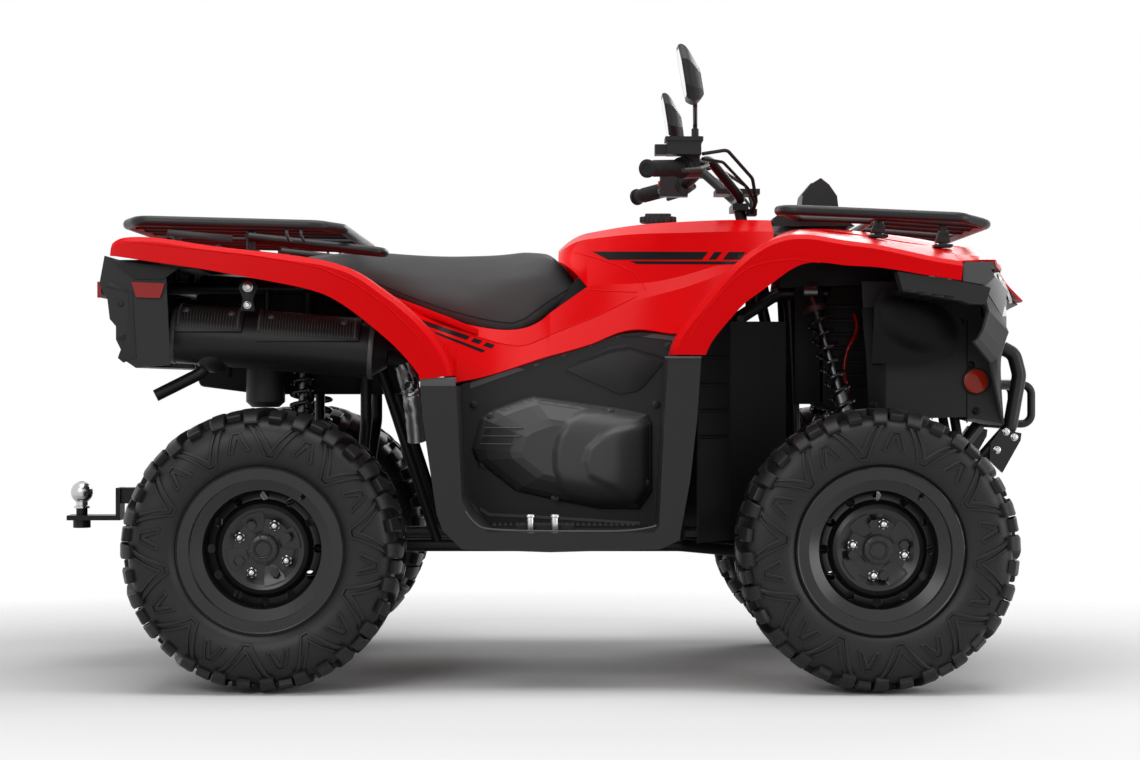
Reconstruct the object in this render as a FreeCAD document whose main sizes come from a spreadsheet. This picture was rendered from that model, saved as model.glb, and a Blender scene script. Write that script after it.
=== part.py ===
import FreeCAD, Part
import math
import os
import Sketcher

# A utility quad bike. X points forward, Y to the left, Z up, in millimetres.
# The origin lies on the ground, below the middle of the machine.

Vector = FreeCAD.Vector
Rotation = FreeCAD.Rotation
Placement = FreeCAD.Placement

# Driving sizes
SIZES = {
    "wheelbase": 1290,
    "wheelbase_middle": 52,
    "overall_width": 1080,
    "tyre_radius": 298,
    "front_tyre_width": 200,
    "rear_tyre_width": 250,
    "shoulder_width": 34,
    "lug_depth": 17,
    "lug_width": 27,
    "lug_slant": 14,
    "lug_count": 16,
    "rim_flange_radius": 171,
    "rim_seat_radius": 152,
    "rim_well_radius": 128,
    "rim_wall": 3,
    "front_rim_width": 170,
    "rear_rim_width": 200,
    "disc_wall": 4,
    "disc_hole_radius": 9.5,
    "disc_hole_circle": 112,
    "disc_hole_count": 12,
    "nut_circle": 55,
    "nut_radius": 10,
    "nut_length": 16,
    "hub_radius": 38,
    "hub_cap_radius": 31,
    "brake_disc_radius": 84,
    "spindle_radius": 16,
    "kingpin_inset": 195,
    "kingpin_radius": 9,
    "knuckle_gap": 5,
    "joint_ball_radius": 26,
    "rear_knuckle_inset": 153,
    "engine_half_width": 128,
    "arm_eye_radius": 17,
    "arm_eye_height": 24,
    "steer_arm_length": 80,
    "steer_pin_radius": 6,
    "steer_pin_y": 28,
    "tie_rod_radius": 7,
    "stem_radius": 13,
    "arm_tube_radius": 11,
    "front_rail_y": 80,
    "rail_y": 150,
    "rail_radius": 14,
    "bay_tube_radius": 12.5,
    "cross_tube_radius": 11,
    "shaft_radius": 12,
    "damper_radius": 17,
    "spring_radius": 28,
    "spring_wire": 8,
    "body_half_width": 270,
    "fender_half_width": 500,
    "panel_wall": 4,
    "moulding_wall": 6,
    "seat_half_width": 190,
    "rack_half_width": 425,
    "rack_tube_radius": 11,
    "rack_bar_radius": 7,
    "muffler_radius": 60,
    "bumper_tube_radius": 16,
    "bar_radius": 11,
    "grip_radius": 17,
    "hitch_ball_radius": 25,
    "seat_gap": 0.3,
}

# The wheelbase and tyre radius at which the places along and up the machine are given
DRAWN_WHEELBASE = 1290
DRAWN_REAR_AXLE = -593
DRAWN_TYRE_RADIUS = 298


class Size:
    """A length with the sheet formula that gives it."""

    def __init__(self, value, formula):
        self.value = value
        self.formula = formula

    def __add__(self, other):
        return Size(self.value + plain(other), f"({self.formula} + {written(other)})")

    def __radd__(self, other):
        return self + other

    def __sub__(self, other):
        return Size(self.value - plain(other), f"({self.formula} - {written(other)})")

    def __rsub__(self, other):
        return Size(plain(other) - self.value, f"({written(other)} - {self.formula})")

    def __mul__(self, other):
        return Size(self.value * plain(other), f"({self.formula} * {written(other)})")

    def __rmul__(self, other):
        return self * other

    def __truediv__(self, other):
        return Size(self.value / plain(other), f"({self.formula} / {written(other)})")

    def __neg__(self):
        return self * -1


def plain(size):
    return size.value if isinstance(size, Size) else float(size)


def written(size):
    return size.formula if isinstance(size, Size) else f"{float(size):.6f}"


class Sheet:
    """The driving sizes, read by name."""

    def __getattr__(self, name):
        return Size(float(SIZES[name]), "Sizes." + name)


doc = FreeCAD.newDocument("QuadBike")
sheet = doc.addObject("Spreadsheet::Sheet", "Sizes")
for row, (name, value) in enumerate(SIZES.items(), start=1):
    sheet.set(f"A{row}", name)
    sheet.set(f"B{row}", str(value))
    sheet.setAlias(f"B{row}", name)
doc.recompute()
size = Sheet()

rear_axle = size.wheelbase_middle - size.wheelbase / 2
front_axle = size.wheelbase_middle + size.wheelbase / 2
hub_z = size.tyre_radius
front_wheel_y = size.overall_width / 2 - size.front_tyre_width / 2
rear_wheel_y = size.overall_width / 2 - size.rear_tyre_width / 2
kingpin_y = size.overall_width / 2 - size.kingpin_inset


def at_x(x):
    """A place along the machine. Outside the axles it keeps its distance from the nearer
    axle, and between them it keeps its share of the wheelbase."""
    share = (x - DRAWN_REAR_AXLE) / DRAWN_WHEELBASE
    if share < 0:
        return rear_axle + (x - DRAWN_REAR_AXLE)
    if share > 1:
        return front_axle + (x - DRAWN_REAR_AXLE - DRAWN_WHEELBASE)
    return rear_axle + size.wheelbase * share


def at_z(z):
    """A height. Up to the tyre's top it keeps its share, and above it its distance."""
    share = z / DRAWN_TYRE_RADIUS
    if share > 2:
        return size.tyre_radius * 2 + (z - 2 * DRAWN_TYRE_RADIUS)
    return size.tyre_radius * share


def vector(x, y, z):
    return Vector(plain(x), plain(y), plain(z))


def bind(item, prop, value):
    """Give a property its value, bound to the sheet where the value comes from it."""
    if isinstance(value, Size):
        item.setExpression(prop, value.formula)
    else:
        setattr(item, prop, value)


def place(item, x, y, z, rotation=Rotation()):
    item.Placement = Placement(vector(x, y, z), rotation)
    for axis, value in (("x", x), ("y", y), ("z", z)):
        if isinstance(value, Size):
            item.setExpression("Placement.Base." + axis, value.formula)


# Sub-parts, by their labels
parts = []


def keep(item, label):
    item.Label = label
    parts.append(item)
    return item


def join(label, pieces):
    """One sub-part from several pieces, fused where they touch."""
    whole = doc.addObject("Part::MultiFuse", label)
    whole.Shapes = pieces
    return keep(whole, label)


def mirrored(item):
    """The same piece on the other side of the machine."""
    twin = doc.addObject("Part::Mirroring", item.Name + "_left")
    twin.Source = item
    twin.Normal = Vector(0, 1, 0)
    return twin


def both(pieces):
    return pieces + [mirrored(piece) for piece in pieces]


def cut(name, base, tool):
    result = doc.addObject("Part::Cut", name)
    result.Base = base
    result.Tool = tool
    return result


def block(name, x, y, z, length, width, height):
    """A box from its lowest corner."""
    item = doc.addObject("Part::Box", name)
    bind(item, "Length", length)
    bind(item, "Width", width)
    bind(item, "Height", height)
    place(item, x, y, z)
    return item


def rod(name, start, end, radius):
    """A round bar between two points."""
    item = doc.addObject("Part::Cylinder", name)
    run = vector(*end) - vector(*start)
    bind(item, "Radius", radius)
    item.Height = run.Length
    place(item, *start, Rotation(Vector(0, 0, 1), run))
    return item


def ring(name, start, end, radius, bore):
    """A tube between two points, given by its radius and its bore's radius."""
    return cut(name, rod(name + "_outside", start, end, radius), rod(name + "_bore", start, end, bore))


def taper(name, start, end, start_radius, end_radius):
    item = doc.addObject("Part::Cone", name)
    run = vector(*end) - vector(*start)
    bind(item, "Radius1", start_radius)
    bind(item, "Radius2", end_radius)
    item.Height = run.Length
    place(item, *start, Rotation(Vector(0, 0, 1), run))
    return item


def ball(name, x, y, z, radius):
    item = doc.addObject("Part::Sphere", name)
    bind(item, "Radius", radius)
    place(item, x, y, z)
    return item


def rounded_path(points, bend):
    """A wire through the points, its corners rounded by arcs of the bend's radius."""
    corners = [vector(*point) for point in points]
    edges = []
    last = corners[0]
    for before, corner, after in zip(corners, corners[1:], corners[2:]):
        back = (before - corner).normalize()
        ahead = (after - corner).normalize()
        half_angle = back.getAngle(ahead) / 2
        reach = min(
            bend / math.tan(half_angle), 0.49 * (before - corner).Length,
            0.49 * (after - corner).Length,
        )
        radius = reach * math.tan(half_angle)
        middle = corner + (back + ahead).normalize() * (radius / math.sin(half_angle) - radius)
        edges.append(Part.LineSegment(last, corner + back * reach).toShape())
        edges.append(Part.Arc(corner + back * reach, middle, corner + ahead * reach).toShape())
        last = corner + ahead * reach
    edges.append(Part.LineSegment(last, corners[-1]).toShape())
    return Part.Wire(edges)


def tube(name, points, bend, radius):
    """A bent bar: a circle swept along a path of straight runs and arcs."""
    path = doc.addObject("Part::Feature", name + "_path")
    path.Shape = rounded_path(points, bend)
    section = doc.addObject("Part::Circle", name + "_section")
    bind(section, "Radius", radius)
    run = vector(*points[1]) - vector(*points[0])
    place(section, *points[0], Rotation(Vector(0, 0, 1), run))
    sweep = doc.addObject("Part::Sweep", name)
    sweep.Sections = [section]
    sweep.Spine = (path, [f"Edge{n + 1}" for n in range(len(path.Shape.Edges))])
    sweep.Solid = True
    return sweep


def origin_plane(body, role):
    return [item for item in body.Origin.OriginFeatures if item.Role == role][0]


def draw(sketch, outline):
    """A closed outline in a sketch, each corner held by the sheet's sizes."""
    corners = [Vector(plain(across), plain(up), 0) for across, up in outline]
    count = len(corners)
    for n in range(count):
        sketch.addGeometry(Part.LineSegment(corners[n], corners[(n + 1) % count]), False)
    for n in range(count):
        sketch.addConstraint(Sketcher.Constraint("Coincident", n, 2, (n + 1) % count, 1))
    for n, (across, up) in enumerate(outline):
        for kind, value in (("DistanceX", across), ("DistanceY", up)):
            index = sketch.addConstraint(Sketcher.Constraint(kind, -1, 1, n, 1, plain(value)))
            if isinstance(value, Size):
                sketch.setExpression(f"Constraints[{index}]", value.formula)


def sketch_on(body, name, role, outline, offset=0):
    """A sketch on one of the body's origin planes, moved along its normal."""
    sketch = body.newObject("Sketcher::SketchObject", name)
    sketch.AttachmentSupport = [(origin_plane(body, role), "")]
    sketch.MapMode = "FlatFace"
    sketch.AttachmentOffset = Placement(Vector(0, 0, plain(offset)), Rotation())
    if isinstance(offset, Size):
        sketch.setExpression("AttachmentOffset.Base.z", offset.formula)
    draw(sketch, outline)
    return sketch


def plate(label, outline, inner_y, outer_y):
    """A moulding of constant thickness across the machine, from its outline in X and Z.
    It is made for the right side, where Y is negative."""
    body = doc.addObject("PartDesign::Body", label)
    sketch = sketch_on(body, label + "_outline", "XZ_Plane", outline, inner_y)
    pad = body.newObject("PartDesign::Pad", label + "_pad")
    pad.Profile = sketch
    bind(pad, "Length", outer_y - inner_y)
    return body


def level_plate(label, outline, bottom, thickness):
    """A flat piece from its outline in X and Y."""
    body = doc.addObject("PartDesign::Body", label)
    sketch = sketch_on(body, label + "_outline", "XY_Plane", outline, bottom)
    pad = body.newObject("PartDesign::Pad", label + "_pad")
    pad.Profile = sketch
    bind(pad, "Length", thickness)
    return body


def loft(label, stations):
    """A body through outlines across the machine. Each station has its foot (X and Z), the
    direction that is up in it (X and Z) and its outline in Y and that direction."""
    body = doc.addObject("PartDesign::Body", label)
    sketches = []
    for n, (foot, up, outline) in enumerate(stations):
        sketch = body.newObject("Sketcher::SketchObject", f"{label}_station_{n + 1}")
        across = Vector(0, 1, 0)
        upward = Vector(up[0], 0, up[1]).normalize()
        turn = Rotation(across, upward, across.cross(upward), "XYZ")
        place(sketch, foot[0], 0, foot[1], turn)
        draw(sketch, outline)
        sketches.append(sketch)
    skin = body.newObject("PartDesign::AdditiveLoft", label + "_skin")
    skin.Profile = sketches[0]
    skin.Sections = sketches[1:]
    return body


def side_loft(label, stations):
    """A body of flat facets through outlines in X and Z. Each station has its distance from
    the middle, to the right, and its outline."""
    body = doc.addObject("PartDesign::Body", label)
    sketches = []
    for n, (y, outline) in enumerate(stations):
        points = [(at_x(x), at_z(z)) for x, z in outline]
        sketches.append(sketch_on(body, f"{label}_station_{n + 1}", "XZ_Plane", points, y))
    skin = body.newObject("PartDesign::AdditiveLoft", label + "_skin")
    skin.Profile = sketches[0]
    skin.Sections = sketches[1:]
    skin.Ruled = True
    return body


def strip(line, back, down):
    """A closed strip: a line in X and Z, and the same line moved back and down."""
    return list(line) + [(x - back, z - down) for x, z in reversed(line)]


def wall(outline, thickness):
    """A thin closed outline: the outer line, and back along a line inside it. Each point is
    (Y, up) and the inner line lies toward the middle and below."""
    back = []
    points = [(plain(y), plain(up)) for y, up in outline]
    for n, (y, up) in enumerate(points):
        before = points[max(n - 1, 0)]
        after = points[min(n + 1, len(points) - 1)]
        run = Vector(after[0] - before[0], after[1] - before[1], 0).normalize()
        inward = Vector(run.y, -run.x, 0)
        back.append((outline[n][0] + inward.x * thickness, outline[n][1] + inward.y * thickness))
    return list(outline) + back[::-1]


# Wheels

def carcass_outline(width, rim_width):
    """Half of the tyre's section, from the middle of the tread to the bead, as (across,
    radius)."""
    half = width / 2
    bead = rim_width / 2 - size.rim_wall - size.seat_gap
    bore = (size.rim_seat_radius + size.seat_gap) / math.cos(math.pi / plain(size.lug_count) / 2)
    base = size.tyre_radius - size.lug_depth
    shoulder = (half - size.shoulder_width, base)
    outside = [shoulder, (half - 4, base - 50)]
    outside += [(bead, size.rim_flange_radius + 5), (bead, bore)]
    return [(plain(across), plain(radius)) for across, radius in outside]


def faceted_ring(outline, count):
    """A closed ring round Y of flat facets, from half of its section."""
    section = outline + [(-across, radius) for across, radius in reversed(outline)]
    faces = []
    turns = [2 * math.pi * (n + 0.5) / count for n in range(count + 1)]
    for (across, radius), (next_across, next_radius) in zip(section, section[1:] + section[:1]):
        for turn, next_turn in zip(turns, turns[1:]):
            corners = []
            for v, r, angle in (
                (across, radius, turn),
                (next_across, next_radius, turn),
                (next_across, next_radius, next_turn),
                (across, radius, next_turn),
            ):
                corners.append(Vector(r * math.sin(angle), v, r * math.cos(angle)))
            faces.append(Part.Face(Part.makePolygon(corners + corners[:1])))
    shell = Part.makeShell(faces)
    ring_solid = Part.makeSolid(shell)
    if ring_solid.Volume < 0:
        ring_solid.reverse()
    return ring_solid


def lug(width):
    """One lug of the tread, above the axle, from near the middle to over the shoulder."""
    half = plain(width) / 2
    radius = plain(size.tyre_radius)
    base = radius - plain(size.lug_depth)
    half_width = plain(size.lug_width) / 2
    slant = math.radians(plain(size.lug_slant))
    middle = half * 0.55
    spread = (middle - 10) * math.sin(slant) + half_width * math.cos(slant)
    top = math.sqrt(radius ** 2 - spread ** 2)
    reach = (half - half_width * math.sin(slant) - middle) / math.cos(slant) + middle
    outline = [
        (10, base - 6),
        (10, top),
        (reach - 20, top - 6),
        (reach, base - 38),
    ]
    corners = [Vector(-half_width, v, r) for v, r in outline]
    bar = Part.Face(Part.makePolygon(corners + corners[:1])).extrude(Vector(2 * half_width, 0, 0))
    bar.rotate(Vector(0, middle, 0), Vector(0, 0, 1), -plain(size.lug_slant))
    return bar


def tyre_shape(width, rim_width):
    """A tyre about its own middle: a carcass with lugs staggered on its two sides."""
    count = int(plain(size.lug_count))
    carcass = faceted_ring(carcass_outline(width, rim_width), 2 * count)
    left = lug(width)
    right = left.mirror(Vector(0, 0, 0), Vector(0, 1, 0))
    lugs = []
    for n in range(count):
        for bar, turn in ((left, n), (right, n + 0.5)):
            copy = bar.copy()
            copy.rotate(Vector(0, 0, 0), Vector(0, 1, 0), 360 * turn / count)
            lugs.append(copy)
    return carcass.multiFuse(lugs)


def tyre(label, shape, x, y):
    item = doc.addObject("Part::Feature", label)
    item.Shape = shape
    place(item, x, y, hub_z)
    return keep(item, label)


def rim(label, rim_width, hub_reach, nut_turn, x, y, side):
    """A pressed steel wheel: barrel, dished disc with holes, hub, brake disc, nuts and cap.
    side is -1 on the right, where the outer face looks toward -Y."""
    half = rim_width / 2
    wall_size = size.rim_wall
    seat = size.rim_seat_radius
    well = size.rim_well_radius
    flange = size.rim_flange_radius
    thick = size.disc_wall

    body = doc.addObject("PartDesign::Body", label + "_pressing")
    outer = [
        (flange, half),
        (flange, half - wall_size),
        (seat, half - wall_size),
        (seat, half - 24),
        (well, half - 38),
        (well, -10),
        (seat, -34),
        (seat, wall_size - half),
        (flange, wall_size - half),
        (flange, -half),
    ]
    inner = [
        (seat - wall_size, -half),
        (seat - wall_size, -36),
        (well - wall_size, -12),
        (well - wall_size, half - 36),
        (seat - wall_size, half - 22),
        (seat - wall_size, half),
    ]
    barrel = sketch_on(
        body, label + "_barrel_section", "XY_Plane", [(r, v * side) for r, v in outer + inner],
    )
    barrel_turn = body.newObject("PartDesign::Revolution", label + "_barrel")
    barrel_turn.Profile = barrel
    barrel_turn.ReferenceAxis = (barrel, ["V_Axis"])
    barrel_turn.Angle = 360

    edge = well - wall_size
    face = [
        (edge + 1, 8), (edge + 1, 16), (edge - 8, 20), (edge - 20, 23), (edge - 30, 38),
        (edge - 39, 43),
    ]
    face += [(edge - 49, 39), (edge - 62, 31), (size.hub_cap_radius, 31)]
    face += [(size.hub_cap_radius, 46), (0, 48)]
    back = [(0, -hub_reach), (size.hub_radius, -hub_reach), (size.hub_radius, 31 - thick)]
    back += [(edge - 60, 31 - thick), (edge - 50, 34), (edge - 40, 38), (edge - 33, 35)]
    back += [(edge - 23, 19), (edge - 9, 15), (edge - 5, 8)]
    disc = sketch_on(body, label + "_disc_section", "XY_Plane", [(r, v * side) for r, v in face + back])
    disc_turn = body.newObject("PartDesign::Revolution", label + "_disc")
    disc_turn.Profile = disc
    disc_turn.ReferenceAxis = (disc, ["V_Axis"])
    disc_turn.Angle = 360

    brake = [(size.hub_radius - 2, 12 - hub_reach), (size.brake_disc_radius, 12 - hub_reach)]
    brake += [(size.brake_disc_radius, 16 - hub_reach), (size.hub_radius - 2, 16 - hub_reach)]
    brake_sketch = sketch_on(body, label + "_brake_section", "XY_Plane", [(r, v * side) for r, v in brake])
    brake_turn = body.newObject("PartDesign::Revolution", label + "_brake")
    brake_turn.Profile = brake_sketch
    brake_turn.ReferenceAxis = (brake_sketch, ["V_Axis"])
    brake_turn.Angle = 360

    bore = [(0, -hub_reach - 1), (size.spindle_radius + size.seat_gap, -hub_reach - 1)]
    bore += [(size.spindle_radius + size.seat_gap, 14), (0, 14)]
    bore_sketch = sketch_on(body, label + "_bore_section", "XY_Plane", [(r, v * side) for r, v in bore])
    bore_turn = body.newObject("PartDesign::Groove", label + "_bore")
    bore_turn.Profile = bore_sketch
    bore_turn.ReferenceAxis = (bore_sketch, ["V_Axis"])
    bore_turn.Angle = 360

    hole = body.newObject("Sketcher::SketchObject", label + "_hole_circle")
    hole.AttachmentSupport = [(origin_plane(body, "XZ_Plane"), "")]
    hole.MapMode = "FlatFace"
    hole.addGeometry(
        Part.Circle(vector(0, size.disc_hole_circle, 0), Vector(0, 0, 1), plain(size.disc_hole_radius)),
        False,
    )
    across = hole.addConstraint(Sketcher.Constraint("DistanceX", -1, 1, 0, 3, 0))
    up = hole.addConstraint(Sketcher.Constraint("DistanceY", -1, 1, 0, 3, plain(size.disc_hole_circle)))
    radius = hole.addConstraint(Sketcher.Constraint("Radius", 0, plain(size.disc_hole_radius)))
    hole.setExpression(f"Constraints[{up}]", size.disc_hole_circle.formula)
    hole.setExpression(f"Constraints[{radius}]", size.disc_hole_radius.formula)
    holes = body.newObject("PartDesign::Pocket", label + "_hole")
    holes.Profile = hole
    holes.Length = 40
    holes.Reversed = side < 0
    ring_of_holes = body.newObject("PartDesign::PolarPattern", label + "_holes")
    ring_of_holes.Originals = [holes]
    ring_of_holes.Axis = (origin_plane(body, "Y_Axis"), [""])
    ring_of_holes.Angle = 360
    ring_of_holes.Occurrences = int(plain(size.disc_hole_count))
    body.Tip = ring_of_holes

    pieces = [body]
    for n in range(4):
        angle = math.radians(nut_turn + 90 * n)
        nut = doc.addObject("Part::Prism", f"{label}_nut_{n + 1}")
        nut.Polygon = 6
        bind(nut, "Circumradius", size.nut_radius)
        bind(nut, "Height", size.nut_length)
        place(
            nut,
            size.nut_circle * math.sin(angle),
            30.5 * side,
            size.nut_circle * math.cos(angle),
            Rotation(Vector(1, 0, 0), -90 * side),
        )
        pieces.append(nut)
    wheel = join(label, pieces)
    place(wheel, x, y, hub_z)
    return wheel


def wheels():
    front = tyre_shape(size.front_tyre_width, size.front_rim_width)
    rear = tyre_shape(size.rear_tyre_width, size.rear_rim_width)
    for side, name in ((-1, "right"), (1, "left")):
        tyre("tyre_front_" + name, front, front_axle, front_wheel_y * side)
        tyre("tyre_rear_" + name, rear, rear_axle, rear_wheel_y * side)
        rim("rim_front_" + name, size.front_rim_width, 45, -11, front_axle, front_wheel_y * side, side)
        rim("rim_rear_" + name, size.rear_rim_width, 60, -26, rear_axle, rear_wheel_y * side, side)


wheels()


# Frame and running gear

stem_low = at_z(346)
FLOOR = 334

lower_pivot_y = size.front_rail_y + size.rail_radius + size.seat_gap + size.arm_tube_radius
upper_pivot_y = size.front_rail_y + size.bay_tube_radius + size.seat_gap + size.arm_tube_radius
lower_pivot_z = at_z(262)
upper_pivot_z = at_z(398)
lower_eye_z = at_z(223)
upper_eye_z = at_z(385)
steer_eye_z = at_z(341.5)
stem_lean = math.tan(math.radians(13.1))
front_damper_top = (front_axle - 113, -192, at_z(850))
rear_damper_top = (rear_axle + 55, -200, at_z(725))
damper_eye_radius = 14


def stem_at(z):
    """The point of the steering stem's axis at a height."""
    return (front_axle - 258 + (at_z(1050) - z) * stem_lean, 0, z)


def along_stem(z, back, up, y=0):
    """A point given by its distance behind the stem's axis and along it, from a height."""
    lean = math.atan(stem_lean)
    foot = stem_at(z)
    return (
        foot[0] - back * math.cos(lean) - up * math.sin(lean),
        y,
        foot[2] - back * math.sin(lean) + up * math.cos(lean),
    )


def frame():
    """Welded tubes: two lower and two upper rails, uprights, cross tubes, and the narrow
    front and rear bays that carry the arms."""
    rail = size.rail_y
    bay = size.front_rail_y
    tubes = [
        tube("lower_rail", [
            (rear_axle - 140, -bay, at_z(262)),
            (rear_axle + 130, -bay, at_z(262)),
            (rear_axle + 230, -rail, at_z(286)),
            (front_axle - 400, -rail, at_z(286)),
            (front_axle - 190, -bay, at_z(262)),
            (front_axle + 200, -bay, at_z(262)),
            (front_axle + 255, -bay, at_z(410)),
        ], 60, size.rail_radius),
        tube("upper_rail", [
            (rear_axle - 250, -rail, at_z(858)),
            (at_x(-500), -rail, at_z(858)),
            (at_x(-330), -rail, at_z(776)),
            (at_x(-100), -rail, at_z(700)),
            (at_x(290), -rail, at_z(700)),
            (front_axle - 175, -bay - 10, at_z(850)),
            (front_axle + 60, -bay - 10, at_z(850)),
            (front_axle + 205, -bay - 10, at_z(700)),
        ], 60, size.rail_radius),
        tube("rear_bay_rail", [
            (rear_axle - 130, -bay, at_z(262)),
            (rear_axle - 130, -bay, at_z(398)),
            (rear_axle + 170, -bay, at_z(398)),
            (rear_axle + 190, -rail, at_z(560)),
            (rear_axle + 190, -rail, at_z(810)),
        ], 40, size.bay_tube_radius),
        tube("front_bay_rail", [
            (front_axle + 190, -bay, at_z(262)),
            (front_axle + 190, -bay, at_z(398)),
            (front_axle - 130, -bay, at_z(398)),
            (front_axle - 150, -bay, at_z(840)),
        ], 40, size.bay_tube_radius),
        rod("panel_post", (at_x(-81), -rail, at_z(650)), (at_x(-81), -rail, at_z(700)), 9),
        rod(
            "rear_brace", (rear_axle + 216, -rail, at_z(700)), (rear_axle + 350, -rail, at_z(290)),
            size.cross_tube_radius,
        ),
        rod(
            "front_upright", (front_axle - 400, -rail, at_z(290)),
            (front_axle - 400, -rail, at_z(700)), size.cross_tube_radius,
        ),
        rod(
            "nose_strut", (front_axle + 252, -bay, at_z(404)),
            (front_axle + 200, -bay - 8, at_z(704)), size.cross_tube_radius,
        ),
        rod(
            "rear_shock_post", (rear_axle + 60, -rail, at_z(858)),
            (rear_axle + 60, -bay, at_z(398)), size.cross_tube_radius,
        ),
    ]
    cross = []
    seat_tube_z = at_z(755.3) - size.seat_gap - size.cross_tube_radius
    for name, x, z, reach in (
        ("rear_low", rear_axle - 130, at_z(262), bay),
        ("rear_mid", rear_axle + 120, at_z(262), bay),
        ("seat_front", at_x(-81), seat_tube_z, rail),
        ("engine_rear", at_x(-170), at_z(286), rail),
        ("engine_front", at_x(170), at_z(286), rail),
        ("front_low", front_axle - 170, at_z(262), bay),
        ("front_mid", front_axle + 190, at_z(262), bay),
        ("steering_top", front_axle - 175, at_z(850), bay + 10),
        ("hitch", rear_axle - 130, at_z(390), bay),
        ("rack_rear", rear_axle - 240, at_z(858), rail),
        ("rack_front", front_axle + 60, at_z(850), bay + 10),
        ("bumper", front_axle + 255, at_z(410), 190),
    ):
        cross.append(rod("cross_" + name, (x, -reach, z), (x, reach, z), size.cross_tube_radius))
    tray_support = at_z(FLOOR) - size.moulding_wall - size.seat_gap - size.cross_tube_radius
    for name, x in (("rear", at_x(-90)), ("front", at_x(190))):
        tubes.append(tube("outrigger_" + name, [
            (x, -rail, at_z(290)),
            (x, -rail - 60, tray_support),
            (x, -size.fender_half_width + 36, tray_support),
        ], 30, size.cross_tube_radius))
    panel_inner = panel_face - size.panel_wall - size.seat_gap
    for name, start, end in (
        ("seat_rear", (at_x(-450), -rail + 8, at_z(832)), (at_x(-450), -rail + 8, at_z(886.5))),
        ("seat_front", (at_x(-81), -rail, at_z(700)), (at_x(-81), -rail, seat_tube_z)),
        ("deck", (rear_axle - 240, -110, at_z(858)), (rear_axle - 240, -110, at_z(929) - size.seat_gap)),
        ("tank", (at_x(470), -103, at_z(816)), (at_x(470), -103, at_z(1009.7))),
        ("hood", (front_axle + 60, -bay - 10, at_z(850)), (front_axle + 60, -bay - 10, at_z(977.2))),
        ("nose", (front_axle + 200, -bay - 10, at_z(704)), (at_x(995), -bay - 10, at_z(700))),
        ("panel_front", (at_x(120), -rail, at_z(700)), (at_x(120), -panel_inner, at_z(700))),
        ("panel_rear", (at_x(-81), -rail, at_z(660)), (at_x(-81), -panel_inner, at_z(660))),
        ("fascia", (rear_axle - 240, -rail, at_z(858)), (at_x(-930.7), -rail, at_z(856))),
        ("liner", (at_x(430), -bay - 30, at_z(790)), (at_x(430), -180.2, at_z(790))),
        (
            "canister", (at_x(-622), -rail - 14, at_z(852)),
            (at_x(-622), -rail - 14, at_z(688) + size.seat_gap),
        ),
    ):
        tubes.append(rod("carrier_" + name, start, end, 8))
    for axle_top, name in ((front_damper_top, "front"), (rear_damper_top, "rear")):
        root_y = -bay - 10 if name == "front" else -128
        tip = (axle_top[0], axle_top[1] + damper_eye_radius + size.seat_gap, axle_top[2])
        tubes.append(rod("damper_bracket_" + name, (axle_top[0], root_y, axle_top[2]), tip, 9))
    foot = level_plate("stem_foot", [
        (front_axle - 184, -26),
        (front_axle - 60, -26),
        (front_axle - 60, 26),
        (front_axle - 184, 26),
    ], at_z(267), 10)
    cross.append(foot)
    cross.append(rod("stem_foot_post", stem_at(at_z(272)), stem_at(stem_low - size.seat_gap), 15))
    lug_plate = level_plate("stem_collar_plate", [
        (front_axle - 228, -22),
        (front_axle - 170, -22),
        (front_axle - 170, 22),
        (front_axle - 228, 22),
    ], at_z(846), 9)
    collar_low = along_stem(at_z(850), 0, -14)
    collar_high = along_stem(at_z(850), 0, 14)
    collar = doc.addObject("Part::MultiFuse", "stem_collar_solid")
    collar.Shapes = [lug_plate, rod("stem_collar", collar_low, collar_high, 25)]
    hole = rod(
        "stem_collar_bore",
        along_stem(at_z(850), 0, -40),
        along_stem(at_z(850), 0, 40),
        size.stem_radius + size.seat_gap,
    )
    cross.append(cut("stem_collar_ring", collar, hole))
    join("frame", both(tubes) + cross)


def engine():
    low = at_z(286) + size.cross_tube_radius + size.seat_gap
    crankcase = block(
        "crankcase", at_x(-215), -size.engine_half_width, low, 430, 2 * size.engine_half_width, 300,
    )
    head = block("cylinder_head", at_x(-60), -90, low + 299, 160, 180, 92)
    join("engine", [crankcase, head])


def final_drives():
    """The front and rear gearcases with the shafts that drive them."""
    pieces = []
    bay_inner = size.front_rail_y - size.rail_radius
    for name, axle, ahead in (("front", front_axle, -1), ("rear", rear_axle, 1)):
        reach = bay_inner - size.seat_gap
        pieces.append(rod(name + "_case", (axle, -60, hub_z), (axle, 60, hub_z), 62))
        pieces.append(rod(name + "_stub", (axle, -96, hub_z), (axle, 96, hub_z), 18))
        for x in (-28, 28):
            pieces.append(rod(
                f"{name}_mount_{x}", (axle + x, -reach, lower_pivot_z),
                (axle + x, reach, lower_pivot_z), 12,
            ))
        engine_face = at_x(-215 * ahead) - size.seat_gap * ahead if ahead > 0 else at_x(215) + size.seat_gap
        pieces.append(rod(
            name + "_drive_shaft", (axle + 50 * ahead, 40, at_z(305)), (engine_face, 40, at_z(305)),
            size.shaft_radius,
        ))
    join("final_drives", pieces)


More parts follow.
